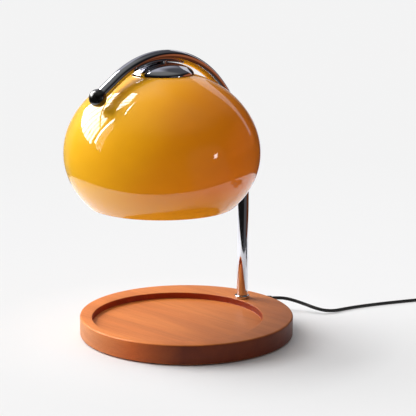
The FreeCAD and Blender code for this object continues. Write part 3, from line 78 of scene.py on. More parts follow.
# shade and cap, under the middle of the top arc; the shade is half an ellipse above its widest
# place, and part of a lower ellipse below it
SEAT_GAP = 0.05
CAP_RADIUS = 28.0
CAP_WALL = 0.9
CAP_HEIGHT = 10.2
CAP_SEAT = TOP_MIDDLE + TOP_RADIUS - TUBE_RADIUS - SEAT_GAP - CAP_HEIGHT
SHADE_RADIUS = 86.7
SHADE_UPPER = 72.9
SHADE_LOWER = 70.3
SHADE_DROP = 46.8
SHADE_MIDDLE = (
    CAP_SEAT - SEAT_GAP - SHADE_UPPER * math.sqrt(1 - ((CAP_RADIUS - CAP_WALL) / SHADE_RADIUS) ** 2)
)
SHADE_WALL = 1.0
NIPPLE_HOLE = 4.05

# ---------------------------------------------------------------------------------------------
# directions

UP = Vector((0, 0, 1))


def toward(azimuth_degrees, elevation_degrees=0.0, distance=1.0):
    """The vector of a given length in a direction."""
    angle, rise = math.radians(azimuth_degrees), math.radians(elevation_degrees)
    level = math.cos(rise)
    return Vector((math.cos(angle) * level, math.sin(angle) * level, math.sin(rise))) * distance


# ---------------------------------------------------------------------------------------------
# camera, fitted to the outlines in the photograph; place in metres, angles in degrees

CAMERA_PLACE = Vector((0.91705, -0.89176, 0.39713))
CAMERA_AZIMUTH = 134.941
CAMERA_ELEVATION = -12.347
CAMERA_ROLL = 0.28
CAMERA_LENS = 125.56
SENSOR_WIDTH = 36.0

camera = bpy.data.objects.new("camera", bpy.data.cameras.new("camera"))
scene.collection.objects.link(camera)
scene.camera = camera
camera.data.lens = CAMERA_LENS
camera.data.sensor_width = SENSOR_WIDTH
forward = toward(CAMERA_AZIMUTH, CAMERA_ELEVATION)
rightward = forward.cross(UP).normalized()
turn = Matrix((rightward, rightward.cross(forward), -forward)).transposed().to_4x4()
roll = Matrix.Rotation(math.radians(CAMERA_ROLL), 4, "Z")
camera.matrix_world = Matrix.Translation(CAMERA_PLACE) @ turn @ roll

# ---------------------------------------------------------------------------------------------
# node graphs


class Graph:
    """The nodes of a material or a world, with short ways to add and join them."""

    def __init__(self, owner):
        owner.use_nodes = True
        self.tree = owner.node_tree
        self.tree.nodes.clear()

    def add(self, kind, **values):
        node = self.tree.nodes.new(kind)
        for name, item in values.items():
            setattr(node, name, item)
        return node

    def join(self, start, end):
        self.tree.links.new(start, end)

    def feed(self, item, socket):
        """Give a socket another node's output, a plain number or vector, or a colour."""
        if isinstance(item, bpy.types.NodeSocket):
            self.join(item, socket)
        elif socket.type == "RGBA":
            socket.default_value = (*item, 1)
        else:
            socket.default_value = item

    def place(self, scale=(1, 1, 1), turn=(0, 0, 0)):
        """Coordinates in the object's own space, scaled and then turned."""
        coordinates = self.add("ShaderNodeTexCoord")
        mapping = self.add("ShaderNodeMapping")
        mapping.inputs["Scale"].default_value = scale
        mapping.inputs["Rotation"].default_value = turn
        self.join(coordinates.outputs["Object"], mapping.inputs["Vector"])
        return mapping.outputs[0]

    def axes(self, vector):
        """The X, Y and Z of a vector."""
        parts = self.add("ShaderNodeSeparateXYZ")
        self.join(vector, parts.inputs[0])
        return parts.outputs

    def noise(self, place, scale, detail=4.0, roughness=0.5, distortion=0.0):
        noise = self.add("ShaderNodeTexNoise")
        noise.inputs["Scale"].default_value = scale
        noise.inputs["Detail"].default_value = detail
        noise.inputs["Roughness"].default_value = roughness
        noise.inputs["Distortion"].default_value = distortion
        self.join(place, noise.inputs["Vector"])
        return noise.outputs["Fac"]

    def between(self, value, low, high, from_low=0.0, from_high=1.0):
        """A value moved from one range to another, and held inside it."""
        span = self.add("ShaderNodeMapRange")
        for name, number in (
            ("From Min", from_low),
            ("From Max", from_high),
            ("To Min", low),
            ("To Max", high),
        ):
            span.inputs[name].default_value = number
        self.join(value, span.inputs["Value"])
        return span.outputs[0]

    def ramp(self, value, stops):
        """A colour for each value, through stops of (position, colour)."""
        ramp = self.add("ShaderNodeValToRGB")
        band = ramp.color_ramp
        while len(band.elements) < len(stops):
            band.elements.new(0.5)
        for element, (position, colour) in zip(band.elements, stops):
            element.position = position
            element.color = (*colour, 1)
        self.join(value, ramp.inputs["Fac"])
        return ramp.outputs[0]

    def mix(self, share, first, second, blend="MIX"):
        """Two colours mixed; the node's inputs 6 and 7 are its colours."""
        mix = self.add("ShaderNodeMix", data_type="RGBA", blend_type=blend)
        for number, item in ((0, share), (6, first), (7, second)):
            self.feed(item, mix.inputs[number])
        return mix.outputs[2]

    def dim(self, colour, level):
        """A colour times a level."""
        grey = self.add("ShaderNodeCombineColor")
        for channel in grey.inputs:
            self.join(level, channel)
        return self.mix(1.0, colour, grey.outputs[0], "MULTIPLY")

    def maths(self, operation, first, second=0.0):
        node = self.add("ShaderNodeMath", operation=operation)
        self.feed(first, node.inputs[0])
        self.feed(second, node.inputs[1])
        return node.outputs[0]

    def measure(self, operation, first, second):
        """The dot product of two vectors, or the distance between them."""
        node = self.add("ShaderNodeVectorMath", operation=operation)
        self.feed(first, node.inputs[0])
        self.feed(second, node.inputs[1])
        return node.outputs["Value"]

    def along(self, vector, azimuth_degrees, elevation_degrees=0.0):
        """How far a vector reaches in a direction."""
        return self.measure("DOT_PRODUCT", vector, toward(azimuth_degrees, elevation_degrees))

    def emission(self, colour, strength=1.0):
        light = self.add("ShaderNodeEmission")
        self.feed(colour, light.inputs["Color"])
        self.feed(strength, light.inputs["Strength"])
        return light.outputs[0]

    def mix_shaders(self, share, first, second):
        mix = self.add("ShaderNodeMixShader")
        for number, item in enumerate((share, first, second)):
            self.join(item, mix.inputs[number])
        return mix.outputs[0]


class Material(Graph):
    """A new material with its graph."""

    def __init__(self, name):
        self.material = bpy.data.materials.new(name)
        super().__init__(self.material)
        self.output = self.add("ShaderNodeOutputMaterial")

    def show(self, shader_output):
        self.join(shader_output, self.output.inputs["Surface"])

    def surface(self, colour, roughness, **values):
        """The main shader; colour and roughness are plain values or outputs of nodes."""
        shader = self.add("ShaderNodeBsdfPrincipled")
        self.feed(colour, shader.inputs["Base Color"])
        self.feed(roughness, shader.inputs["Roughness"])
        for name, item in values.items():
            shader.inputs[name.replace("_", " ")].default_value = item
        self.show(shader.outputs[0])
        return shader

    def bump(self, shader, height, distance, strength=1.0, coat=False):
        """A relief of at most a distance in metres."""
        bump = self.add("ShaderNodeBump")
        bump.inputs["Distance"].default_value = distance
        bump.inputs["Strength"].default_value = strength
        self.join(height, bump.inputs["Height"])
        self.join(bump.outputs[0], shader.inputs["Normal"])
        if coat:
            self.join(bump.outputs[0], shader.inputs["Coat Normal"])


# ---------------------------------------------------------------------------------------------
# materials; places in them are metres, and azimuths and elevations are degrees


def mottled(name, tones, grain, roughness, relief, relief_grain=None, coat=False, **values):
    """Two close tones, mixed by a grain of (scale, detail, roughness). Roughness is one value, or
    a range that follows the grain. The relief follows it too, or has a grain of its own."""
    graph = Material(name)
    place = graph.place()
    tone = graph.noise(place, *grain)
    colour = graph.mix(tone, *tones)
    if isinstance(roughness, tuple):
        roughness = graph.between(tone, *roughness)
    shader = graph.surface(colour, roughness, **values)
    height = graph.noise(place, *relief_grain) if relief_grain else tone
    graph.bump(shader, height, relief, coat=coat)
    return graph.material


def lacquer():
    """The shade's gloss lacquer with light and shade painted in, seen from the camera: painted
    light makes it yellow at the upper left and painted shade brown orange at the lower right. It
    has a faint drift, a rim yellowed by painted warm bounce light, painted shade deepening the
    lower right, and a faint orange peel."""
    across_azimuth = 30.0
    drift_grain, drift_reach = (9.0, 2.0), 0.02
    rise_share = 0.48
    # painted light and shade: the range over which lit yellow turns to shaded brown orange
    lit_until, shaded_from = -0.176, 0.006
    # painted warm bounce light at the rim, and painted shade at the lower right
    rim_light_share, rim_full, rim_over = 0.70, 0.127, 0.152
    rim_light_colour = (0.99, 0.43, 0.010)
    shaded_level, shaded_slope, shaded_until, shaded_over = 0.79, 0.60, 0.140, 0.190
    # painted light and shade: the lacquer's colours from lit yellow to shaded brown orange
    stops = [
        (0.0, (1.0, 0.56, 0.016)),
        (0.40, (1.0, 0.405, 0.007)),
        (0.54, (0.97, 0.320, 0.005)),
        (0.82, (1.0, 0.235, 0.003)),
        (1.0, (1.0, 0.225, 0.002)),
    ]

    graph = Material("shade_lacquer")
    place = graph.place()
    height = graph.axes(place)["Z"]
    across = graph.along(place, across_azimuth)
    # painted light and shade: from lit yellow to shaded brown orange, farther across and lower down
    drift = graph.between(graph.noise(place, *drift_grain), -drift_reach, drift_reach)
    reach = graph.maths("ADD", across, drift)
    reach = graph.maths("SUBTRACT", reach, graph.maths("MULTIPLY", height, rise_share))
    colour = graph.ramp(graph.between(reach, 0.0, 1.0, lit_until, shaded_from), stops)
    # painted warm bounce light that yellows the rim, and painted shade that darkens the lower right
    rim = graph.between(height, rim_light_share, 0.0, rim_full, rim_over)
    colour = graph.mix(rim, colour, rim_light_colour)
    climb = graph.maths("SUBTRACT", height, graph.maths("MULTIPLY", across, shaded_slope))
    colour = graph.dim(colour, graph.between(climb, shaded_level, 1.0, shaded_until, shaded_over))
    shader = graph.surface(
        colour, 0.45, Coat_Weight=1.0, Coat_Roughness=0.012, Coat_IOR=1.65, Specular_IOR_Level=0.04
    )
    graph.bump(shader, graph.noise(place, 260.0, 2.0), 0.00001, coat=True)
    return graph.material


def chrome():
    """Polished chrome with hair-fine wiping marks."""
    graph = Material("chrome")
    place = graph.place()
    roughness = graph.between(graph.noise(place, 60.0, 5.0, 0.6), 0.03, 0.075)
    shader = graph.surface((0.67, 0.675, 0.72), roughness, Metallic=1.0)
    graph.bump(shader, graph.noise(place, 45.0, 2.0), 0.000008)
    return graph.material


def wood():
    """Stained fine-grained hardwood under a thin satin varnish, with painted light and shade:
    lighter toward the light and deeper away from it. Upright faces are end grain, which stains
    darker, and they carry painted light with a painted bluish sheen where they face the light and
    painted shade where they face away. The grain runs along X."""
    # places are turned after they are scaled, so this only picks another part of the noise
    noise_turn = (0, 0, math.radians(-28))
    band_scale, band_grain = (4.0, 42.0, 42.0), (1.0, 6.0, 0.55, 0.6)
    pore_scale, pore_grain = (30.0, 900.0, 900.0), (1.0, 3.0, 0.6)
    fleck_grain = (900.0, 2.0, 0.7)
    band_stops = [
        (0.25, (0.50, 0.132, 0.026)),
        (0.48, (0.64, 0.186, 0.038)),
        (0.60, (0.71, 0.222, 0.047)),
        (0.80, (0.55, 0.150, 0.030)),
    ]
    pore_colour, pore_share, pore_span = (0.42, 0.10, 0.022), 0.35, (0.48, 0.75)
    fleck_colour, fleck_share, fleck_span = (0.80, 0.30, 0.09), 0.22, (0.4, 0.8)
    light_azimuth = -130.0
    level_range, level_span = (0.71, 1.18), (-0.09, 0.07)
    upright_full, upright_over = 0.3, 0.9
    end_grain_and_light_span = (-0.2, 1.0)
    # painted shade on upright faces turned from the light, up to painted light and a painted bluish
    # sheen on those turned toward it
    end_grain_and_light_stops = [
        (0.0, (0.30, 0.15, 0.08)),
        (0.25, (0.21, 0.10, 0.05)),
        (0.62, (0.74, 0.50, 0.32)),
        (1.0, (0.86, 1.08, 1.50)),
    ]
    # the recess's wall: end grain staining and painted shade
    recess_stain_and_shade, recess_span = (0.50, 0.17, 0.11), (-0.03, 0.0)

    graph = Material("stained_wood")
    # the grain
    bands = graph.noise(graph.place(band_scale, noise_turn), *band_grain)
    pores = graph.noise(graph.place(pore_scale, noise_turn), *pore_grain)
    flecks = graph.noise(graph.place(), *fleck_grain)
    colour = graph.ramp(bands, band_stops)
    colour = graph.mix(graph.between(pores, 0.0, pore_share, *pore_span), colour, pore_colour)
    colour = graph.mix(graph.between(flecks, 0.0, fleck_share, *fleck_span), colour, fleck_colour)

    # painted light and shade over the whole board: lighter toward the light, darker away from it
    geometry = graph.add("ShaderNodeNewGeometry")
    position, normal = geometry.outputs["Position"], geometry.outputs["Normal"]
    lit = graph.along(position, light_azimuth)
    colour = graph.dim(colour, graph.between(lit, *level_range, *level_span))

    # the end grain's darker staining all round the board, with painted light, a painted bluish
    # sheen and
    #     painted shade by how each upright face turns to the light; the recess's wall, which faces
    #     inward, gets a darker red instead, part end grain staining and part painted shade
    end_grain_and_light = graph.between(graph.along(normal, light_azimuth), 0.0, 1.0, *end_grain_and_light_span)
    end_grain_and_light = graph.ramp(end_grain_and_light, end_grain_and_light_stops)
    outward = graph.measure("DOT_PRODUCT", normal, position)
    end_grain_and_light = graph.mix(graph.between(outward, 1.0, 0.0, *recess_span), end_grain_and_light, recess_stain_and_shade)
    steepness = graph.maths("ABSOLUTE", graph.axes(normal)["Z"])
    upright = graph.between(steepness, 1.0, 0.0, upright_full, upright_over)
    colour = graph.mix(upright, colour, graph.mix(1.0, colour, end_grain_and_light, "MULTIPLY"))
    shader = graph.surface(colour, graph.between(pores, 0.38, 0.50), Specular_IOR_Level=0.26)
    graph.bump(shader, pores, 0.00003, 0.6)
    return graph.material


def reflector_glass():
    """Faceted glass with a mirror coating."""
    graph = Material("reflector_glass")
    place = graph.place()
    facets = graph.add("ShaderNodeTexVoronoi", feature="F1")
    facets.inputs["Scale"].default_value = 300.0
    graph.join(place, facets.inputs["Vector"])
    colour = graph.mix(graph.noise(place, 80.0, 3.0), (0.62, 0.62, 0.66), (0.74, 0.72, 0.74))
    shader = graph.surface(colour, 0.16, Metallic=0.85)
    graph.bump(shader, facets.outputs["Distance"], 0.0004)
    return graph.material


LACQUER = lacquer()
CHROME = chrome()
WOOD = wood()
REFLECTOR = reflector_glass()
INSIDE = mottled(
    "shade_inside",
    tones=((0.86, 0.84, 0.78), (0.80, 0.78, 0.71)),
    grain=(30.0, 4.0),
    roughness=0.38,
    relief=0.00002,
    relief_grain=(500.0, 2.0),
)
STEEL = mottled(
    "zinc_steel",
    tones=((0.46, 0.47, 0.49), (0.62, 0.63, 0.64)),
    grain=(420.0, 5.0, 0.65),
    roughness=(0.22, 0.42),
    relief=0.00001,
    Metallic=1.0,
)
GLOSS_BLACK = mottled(
    "gloss_black",
    tones=((0.004, 0.004, 0.004), (0.009, 0.008, 0.008)),
    grain=(120.0,),
    roughness=0.22,
    relief=0.000006,
    relief_grain=(300.0, 2.0),
    coat=True,
    Coat_Weight=1.0,
    Coat_Roughness=0.03,
)
# the black flexible lead, with a faint drawn texture
SHEATH = mottled(
    "cord_sheath",
    tones=((0.008, 0.008, 0.008), (0.022, 0.021, 0.020)),
    grain=(700.0, 4.0, 0.6),
    roughness=(0.38, 0.55),
    relief=0.00002,
)
# spark-eroded black plastic
MOULDED = mottled(
    "moulded_black",
    tones=((0.016, 0.016, 0.017), (0.034, 0.034, 0.035)),
    grain=(1500.0, 3.0, 0.6),
    roughness=(0.42, 0.58),
    relief=0.00004,
)
FOAM = mottled(
    "foam_pad",
    tones=((0.018, 0.018, 0.018), (0.05, 0.05, 0.05)),
    grain=(1100.0, 3.0, 0.7),
    roughness=0.85,
    relief=0.00012,
)
BALLAST = mottled(
    "ballast_paint",
    tones=((0.02, 0.02, 0.02), (0.04, 0.04, 0.042)),
    grain=(700.0, 3.0),
    roughness=0.55,
    relief=0.00003,
)
PORCELAIN = mottled(
    "porcelain",
    tones=((0.74, 0.71, 0.64), (0.82, 0.80, 0.74)),
    grain=(160.0, 5.0, 0.6),
    roughness=(0.45, 0.65),
    relief=0.00003,
    relief_grain=(900.0, 3.0),
)
BRASS = mottled(
    "brass",
    tones=((0.70, 0.48, 0.20), (0.80, 0.58, 0.27)),
    grain=(300.0, 4.0),
    roughness=(0.2, 0.35),
    relief=0.000008,
    Metallic=1.0,
)
GLASS = mottled(
    "clear_glass",
    tones=((0.96, 0.97, 0.97), (0.99, 0.99, 0.99)),
    grain=(200.0, 3.0),
    roughness=(0.02, 0.05),
    relief=0.00002,
    Transmission_Weight=1.0,
    IOR=1.5,
)
CIRCUIT = mottled(
    "circuit_board",
    tones=((0.02, 0.13, 0.05), (0.03, 0.18, 0.07)),
    grain=(500.0, 3.0),
    roughness=0.35,
    relief=0.00002,
)

NODE_LOOKS = {
    BALLAST: ["base_plate"],
    STEEL: [
        "plate_screws",
        "pole_washer",
        "pole_nut",
        "ball_stud",
        "nipple",
        "shade_washer",
        "shade_nut",
        "holder_bracket",
        "bracket_nuts",
        "holder_screws",
        "bulb_pins",
        "dimmer_shaft",
        "dimmer_screws",
    ],
    FOAM: ["base_pad"],
    PORCELAIN: ["lampholder", "bulb_base"],
    BRASS: ["holder_contacts", "plug_blades"],
    REFLECTOR: ["bulb_reflector"],
    GLASS: ["bulb_lens", "bulb_capsule"],
    SHEATH: ["cord_relief", "inner_lead", "dimmer_reliefs"],
    MOULDED: [
        "dimmer_lower_case",
        "dimmer_upper_case",
        "dimmer_control",
        "dimmer_dial",
        "coil_tie",
        "plug_body",
    ],
    CIRCUIT: ["dimmer_board"],
}
for look, names in NODE_LOOKS.items():
    for name in names:
        nodes[name].data.materials.clear()
        nodes[name].data.materials.append(look)

# ---------------------------------------------------------------------------------------------
# mesh builders


def solid_piece(name, work, sharp_degrees):
    """A piece from a finished bmesh, smooth but for edges sharper than an angle."""
    bmesh.ops.recalc_face_normals(work, faces=work.faces)
    mesh = bpy.data.meshes.new(name)
    work.to_mesh(mesh)
    work.free()
    mesh.shade_smooth()
    mesh.set_sharp_from_angle(angle=math.radians(sharp_degrees))
    piece = bpy.data.objects.new(name, mesh)
    scene.collection.objects.link(piece)
    return piece


def wall_between(work, low, high):
    """Faces between two loops of as many points, or between a loop and a single point."""
    steps = max(len(low), len(high))
    for step in range(steps):
        after = (step + 1) % steps
        start = [low[0]] if len(low) == 1 else [low[step], low[after]]
        end = [high[0]] if len(high) == 1 else [high[after], high[step]]
        if len(start + end) > 2:
            work.faces.new(start + end)


def loft(name, rings, steps=192, closed=True, sharp_degrees=35):
    """A piece turned from rings of (radius, height, x, y), each with its own centre. A ring of no
    radius is one point."""
    work = bmesh.new()
    loops = []
    for radius, height, x, y in rings:
        if radius < 1e-6:
            loops.append([work.verts.new((x * MM, y * MM, height * MM))])
            continue
        loop = []
        for step in range(steps):
            angle = 2 * math.pi * step / steps
            point = (x + radius * math.cos(angle), y + radius * math.sin(angle), height)
            loop.append(work.verts.new([c * MM for c in point]))
        loops.append(loop)
    following = loops[1:] + (loops[:1] if closed else [])
    for low, high in zip(loops, following):
        wall_between(work, low, high)
    return solid_piece(name, work, sharp_degrees)


def lathe(name, profile, y=0.0, **options):
    """A piece turned from points of (radius, height) round an upright axis."""
    return loft(name, [(radius, height, 0.0, y) for radius, height in profile], **options)


def rounded(corners, steps=6):
    """A section whose corners, each (radius, height, round), are rounded."""
    points = []
    count = len(corners)
    for number, (across, up, radius) in enumerate(corners):
        here = Vector((across, up))
        if radius <= 0:
            points.append(tuple(here))
            continue
        back = (Vector(corners[number - 1][:2]) - here).normalized()
        ahead = (Vector(corners[(number + 1) % count][:2]) - here).normalized()
        half = back.angle(ahead) / 2
        reach = radius / math.tan(half)
        centre = here + (back + ahead).normalized() * radius / math.sin(half)
        start, end = here + back * reach - centre, here + ahead * reach - centre
        sweep = start.angle_signed(end)
        for step in range(steps + 1):
            angle = -sweep * step / steps
            turned = Matrix.Rotation(angle, 2) @ start
            points.append(tuple(centre + turned))
    return points


def oval(half_width, half_height, middle, start, end, steps):
    """Points of (radius, height) on an upright ellipse, between two angles in radians."""
    points = []
    for step in range(steps + 1):
        angle = start + (end - start) * step / steps
        points.append((half_width * math.cos(angle), middle + half_height * math.sin(angle)))
    return points


def finish_piece(piece, look, body, slot, *replaced):
    """Give a piece its material and its body, and hide the CAD nodes it replaces. The slot is not
    used.
    """
    piece.data.materials.clear()
    piece.data.materials.append(look)
    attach(piece, body)
    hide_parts(*replaced)


# ---------------------------------------------------------------------------------------------
# the free cord: one spline from the strain relief's tip to the plug, with the coil in it; its
# points are those of the construction, in millimetres

CORD_DIAMETER = 3.2
COIL_X, COIL_Y = 217.8, 199.9
COIL_MIDDLE = 19.0
TURN_PITCH = 3.3
TIE_THICKNESS = 0.6
TURNS_ACROSS = 3
TURNS_HIGH = 4
COIL_START = 45.0
COIL_END = -85.0
POINTS_PER_TURN = 18
LANE_CHANGE = 0.28

LAMP_CORD = [
    (4.17, 110.52, 11.8),
    (7.4, 114.4, 11.9),
    (12.2, 120.5, 11.4),
    (21.1, 125.3, 9.8),
    (30.7, 129.3, 7.4),
    (41.5, 132.2, 5.0),
    (49.1, 137.8, 3.0),
    (53.7, 147.0, 1.9),
    (55.6, 160.0, 1.7),
    (59.7, 175.4, 1.7),
    (69.6, 201.4, 1.7),
    (82.4, 228.9, 1.7),
    (90.3, 244.8, 1.7),
    (98.9, 252.9, 2.4),
    (110.2, 257.5, 4.7),
    (122.07, 258.44, 7.5),
    (133.35, 254.34, 7.5),
]
DIMMER_CORD = [
    (206.65, 227.66, 7.5),
    (213.7, 225.1, 7.5),
    (225.0, 221.0, 2.3),
    (233.6, 215.6, 2.3),
]
# the stretch through the dimmer is hidden inside its case
THROUGH_DIMMER = [(152.0, 247.55, 7.0), (170.0, 241.0, 6.2), (188.0, 234.45, 7.0)]
PLUG_CORD = [
    (219.7, 177.7, 12.1),
    (210.2, 178.9, 12.1),
    (203.6, 181.3, 12.1),
    (190.4, 186.1, 7.0),
    (183.37, 188.68, 7.0),
]


def lane_place(number):
    """How far inward, and how high, a turn of the coil lies, both counted in turns."""
    layer, across = divmod(number, TURNS_ACROSS)
    return (across if layer % 2 == 0 else TURNS_ACROSS - 1 - across), layer


def coil_points():
    """The coil's turns, wound clockwise seen from above, layer by layer from below. The cord
    moves to its next lane in the last part of each turn."""
    last_lane = TURNS_ACROSS * TURNS_HIGH - 1
    turns = last_lane + (COIL_START - COIL_END) / 360
    outer = COIL_MIDDLE + (TURNS_ACROSS - 1) / 2 * TURN_PITCH
    floor = TIE_THICKNESS + TURN_PITCH / 2
    count = int(turns * POINTS_PER_TURN)
    points = []
    for number in range(1, count):
        turned = turns * number / count
        place = min(turned, last_lane)
        lane, part = int(place), place - int(place)
        step = max(0.0, (part - (1 - LANE_CHANGE)) / LANE_CHANGE)
        here = Vector(lane_place(lane))
        following = Vector(lane_place(min(lane + 1, last_lane)))
        inward, layer = here.lerp(following, step)
        angle = math.radians(COIL_START - 360 * turned)
        radius = outer - inward * TURN_PITCH
        points.append(
            (
                COIL_X + radius * math.cos(angle),
                COIL_Y + radius * math.sin(angle),
                floor + layer * TURN_PITCH,
            )
        )
    return points


def cord_curve(name, points, diameter):
    """A round cord through its points, which pull the curve without all lying on it."""
    curve = bpy.data.curves.new(name, "CURVE")
    curve.dimensions = "3D"
    curve.bevel_depth = diameter / 2 * MM
    curve.bevel_resolution = 6
    curve.use_fill_caps = True
    curve.resolution_u = 6
    spline = curve.splines.new("NURBS")
    spline.points.add(len(points) - 1)
    for point, place in zip(spline.points, points):
        point.co = (*[c * MM for c in place], 1)
    spline.order_u = 3
    spline.use_endpoint_u = True
    piece = bpy.data.objects.new(name, curve)
    scene.collection.objects.link(piece)
    return piece


def spline_length(points):
    """The cord's own length in metres, measured on the curve without its thickness."""
    bare = cord_curve("bare", points, 0.0)
    bare.data.use_fill_caps = False
    bpy.context.view_layer.update()
    mesh = bare.to_mesh()
    places = [vertex.co.copy() for vertex in mesh.vertices]
    bare.to_mesh_clear()
    bpy.data.objects.remove(bare)
    return sum((end - start).length for start, end in zip(places, places[1:]))


cord_points = LAMP_CORD + THROUGH_DIMMER + DIMMER_CORD + coil_points() + PLUG_CORD
cord = cord_curve("power_cord", cord_points, CORD_DIAMETER)
finish_piece(
    cord, SHEATH, "lamp", "cord_black", "lamp_cord", "dimmer_cord", "plug_cord", "cord_coil"
)
CORD_LENGTH = round(spline_length(cord_points), 4)

# ---------------------------------------------------------------------------------------------
# shade

SKIRT_STEPS = 40
CROWN_STEPS = 72


def dome_side(inset):
    """The shade's section from rim to crown, a distance inside its outer face."""
    radius, upper, lower = SHADE_RADIUS - inset, SHADE_UPPER - inset, SHADE_LOWER - inset
    rim_angle = -math.asin(SHADE_DROP / lower)
    crown_angle = math.acos(NIPPLE_HOLE / radius)
    skirt = oval(radius, lower, SHADE_MIDDLE, rim_angle, 0.0, SKIRT_STEPS)
    return skirt + oval(radius, upper, SHADE_MIDDLE, 0.0, crown_angle, CROWN_STEPS)[1:]


shade = lathe("lamp_shade", dome_side(0.0) + dome_side(SHADE_WALL)[::-1], y=SHADE_Y, steps=256)
finish_piece(shade, LACQUER, "lamp", "shade_lacquer", "shade")
shade.data.materials.append(INSIDE)
for face in shade.data.polygons:
    outward = (face.center / MM - Vector((0, SHADE_Y, SHADE_MIDDLE))).dot(face.normal)
    face.material_index = 0 if outward > 0 else 1

# ---------------------------------------------------------------------------------------------
# cap

CAP_STEPS = 48


def cap_side(inset):
    """The cap's section from its edge to its hole, a distance inside its outer face."""
    hole_angle = math.acos(NIPPLE_HOLE / (CAP_RADIUS - inset))
    return oval(CAP_RADIUS - inset, CAP_HEIGHT - inset, CAP_SEAT, 0.0, hole_angle, CAP_STEPS)


cap = lathe("shade_cap", cap_side(0.0) + cap_side(CAP_WALL)[::-1], y=SHADE_Y, steps=192)
finish_piece(cap, CHROME, "lamp", "chrome", "dome_cap")

# ---------------------------------------------------------------------------------------------
# arm

POLE_STEPS = 12
FLANK_STEPS = 60
TOP_STEPS = 110
TAIL_STEPS = 4


def swept_tube(name, path, outer, inner, steps=64, sharp_degrees=40):
    """A hollow tube along a path of (place, direction) in the lamp's middle plane."""
    work = bmesh.new()
    loops = {outer: [], inner: []}
    side = Vector((1, 0, 0))
    for place, direction in path:
        over = direction.cross(side).normalized()
        for radius, found in loops.items():
            loop = []
            for step in range(steps):
                angle = 2 * math.pi * step / steps
                spoke = side * math.cos(angle) + over * math.sin(angle)
                loop.append(work.verts.new((place + spoke * radius) * MM))
            found.append(loop)
    walls = list(zip(loops[outer], loops[outer][1:])) + list(zip(loops[inner], loops[inner][1:]))
    walls += [(loops[outer][0], loops[inner][0]), (loops[outer][-1], loops[inner][-1])]
    for low, high in walls:
        wall_between(work, low, high)
    return solid_piece(name, work, sharp_degrees)


def on_arc(middle_y, middle_z, radius, degrees):
    """A point on an arc in the lamp's middle plane, and the tube's direction there."""
    angle = math.radians(degrees)
    place = Vector((0, middle_y + radius * math.cos(angle), middle_z + radius * math.sin(angle)))
    return place, Vector((0, -math.sin(angle), math.cos(angle)))


arm_path = [
    (Vector((0, POLE_Y, POLE_END + (ARCH_Z - POLE_END) * step / POLE_STEPS)), UP)
    for step in range(POLE_STEPS)
]
arm_path += [
    on_arc(POLE_Y - FLANK_RADIUS, ARCH_Z, FLANK_RADIUS, ARCH_CHANGE * step / FLANK_STEPS)
    for step in range(FLANK_STEPS)
]
top_sweep = 90 + ARCH_PAST - ARCH_CHANGE
arm_path += [
    on_arc(SHADE_Y, TOP_MIDDLE, TOP_RADIUS, ARCH_CHANGE + top_sweep * step / TOP_STEPS)
    for step in range(TOP_STEPS + 1)
]
arch_end, tip_direction = arm_path[-1]
arm_path += [
    (arch_end + tip_direction * ARM_TAIL * step / TAIL_STEPS, tip_direction)
    for step in range(1, TAIL_STEPS + 1)
]
tip = arm_path[-1][0]
arm = swept_tube("lamp_arm", arm_path, TUBE_RADIUS, TUBE_BORE)
finish_piece(arm, CHROME, "lamp", "chrome", "arm_tube")

# ---------------------------------------------------------------------------------------------
# collar

collar_bore = TUBE_RADIUS + COLLAR_GAP
collar_section = rounded(
    [
        (collar_bore, BASE_TOP, 0),
        (COLLAR_RADIUS, BASE_TOP, COLLAR_FOOT_ROUND),
        (COLLAR_RADIUS, BASE_TOP + COLLAR_HEIGHT, COLLAR_TOP_ROUND),
        (collar_bore, BASE_TOP + COLLAR_HEIGHT, 0),
    ],
    steps=8,
)
collar = lathe("arm_collar", collar_section, y=POLE_Y, steps=128)
finish_piece(collar, CHROME, "lamp", "chrome", "pole_collar")

# ---------------------------------------------------------------------------------------------
# ball, cut flat where it sits on the tube's end

BALL_STEPS = 48
ball_middle = math.sqrt(BALL_RADIUS**2 - TUBE_RADIUS**2)
flat_angle = -math.asin(ball_middle / BALL_RADIUS)
ball_section = oval(BALL_RADIUS, BALL_RADIUS, ball_middle, flat_angle, math.pi / 2, BALL_STEPS)
ball = lathe("arm_ball", [(0.0, 0.0)] + ball_section, closed=False, steps=96)
tilt = UP.rotation_difference(tip_direction).to_matrix().to_4x4()
ball.data.transform(Matrix.Translation(tip * MM) @ tilt)
finish_piece(ball, GLOSS_BLACK, "lamp", "black_gloss", "ball_knob")

# ---------------------------------------------------------------------------------------------
# base board

LIP_ROUND = 0.9
TOP_ROUND = 1.6
BOTTOM_ROUND = 0.9
FLOOR_ROUND = 0.6


def quarter(radius, centre_across, centre_up, start, end, steps=6):
    """Points on a quarter of a small round, by angles in degrees."""
    points = []
    for step in range(steps + 1):
        angle = math.radians(start + (end - start) * step / steps)
        points.append(
            (centre_across + radius * math.cos(angle), centre_up + radius * math.sin(angle))
        )
    return points


board_outside = [(0.0, PLATE_SEAT_TOP), (PLATE_SEAT_RADIUS, PLATE_SEAT_TOP)]
board_outside += [(PLATE_SEAT_RADIUS, BASE_BOTTOM)]
board_outside += quarter(
    BOTTOM_ROUND, BASE_RADIUS - BOTTOM_ROUND, BASE_BOTTOM + BOTTOM_ROUND, -90, 0
)
board_outside += quarter(TOP_ROUND, BASE_RADIUS - TOP_ROUND, BASE_TOP - TOP_ROUND, 0, 90, 8)
recess = quarter(LIP_ROUND, RECESS_RADIUS + LIP_ROUND, BASE_TOP - LIP_ROUND, 90, 180)
recess += quarter(
    FLOOR_ROUND, RECESS_RADIUS - FLOOR_ROUND, RECESS_FLOOR + FLOOR_ROUND, 0, -90, 4
)
recess += [(0.0, RECESS_FLOOR)]
rings = [(radius, height, 0, 0) for radius, height in board_outside]
rings += [(radius, height, 0, -RECESS_OFFSET) for radius, height in recess]
board = loft("wooden_base", rings, steps=256, closed=False)
finish_piece(board, WOOD, "lamp", "wood", "base_board")

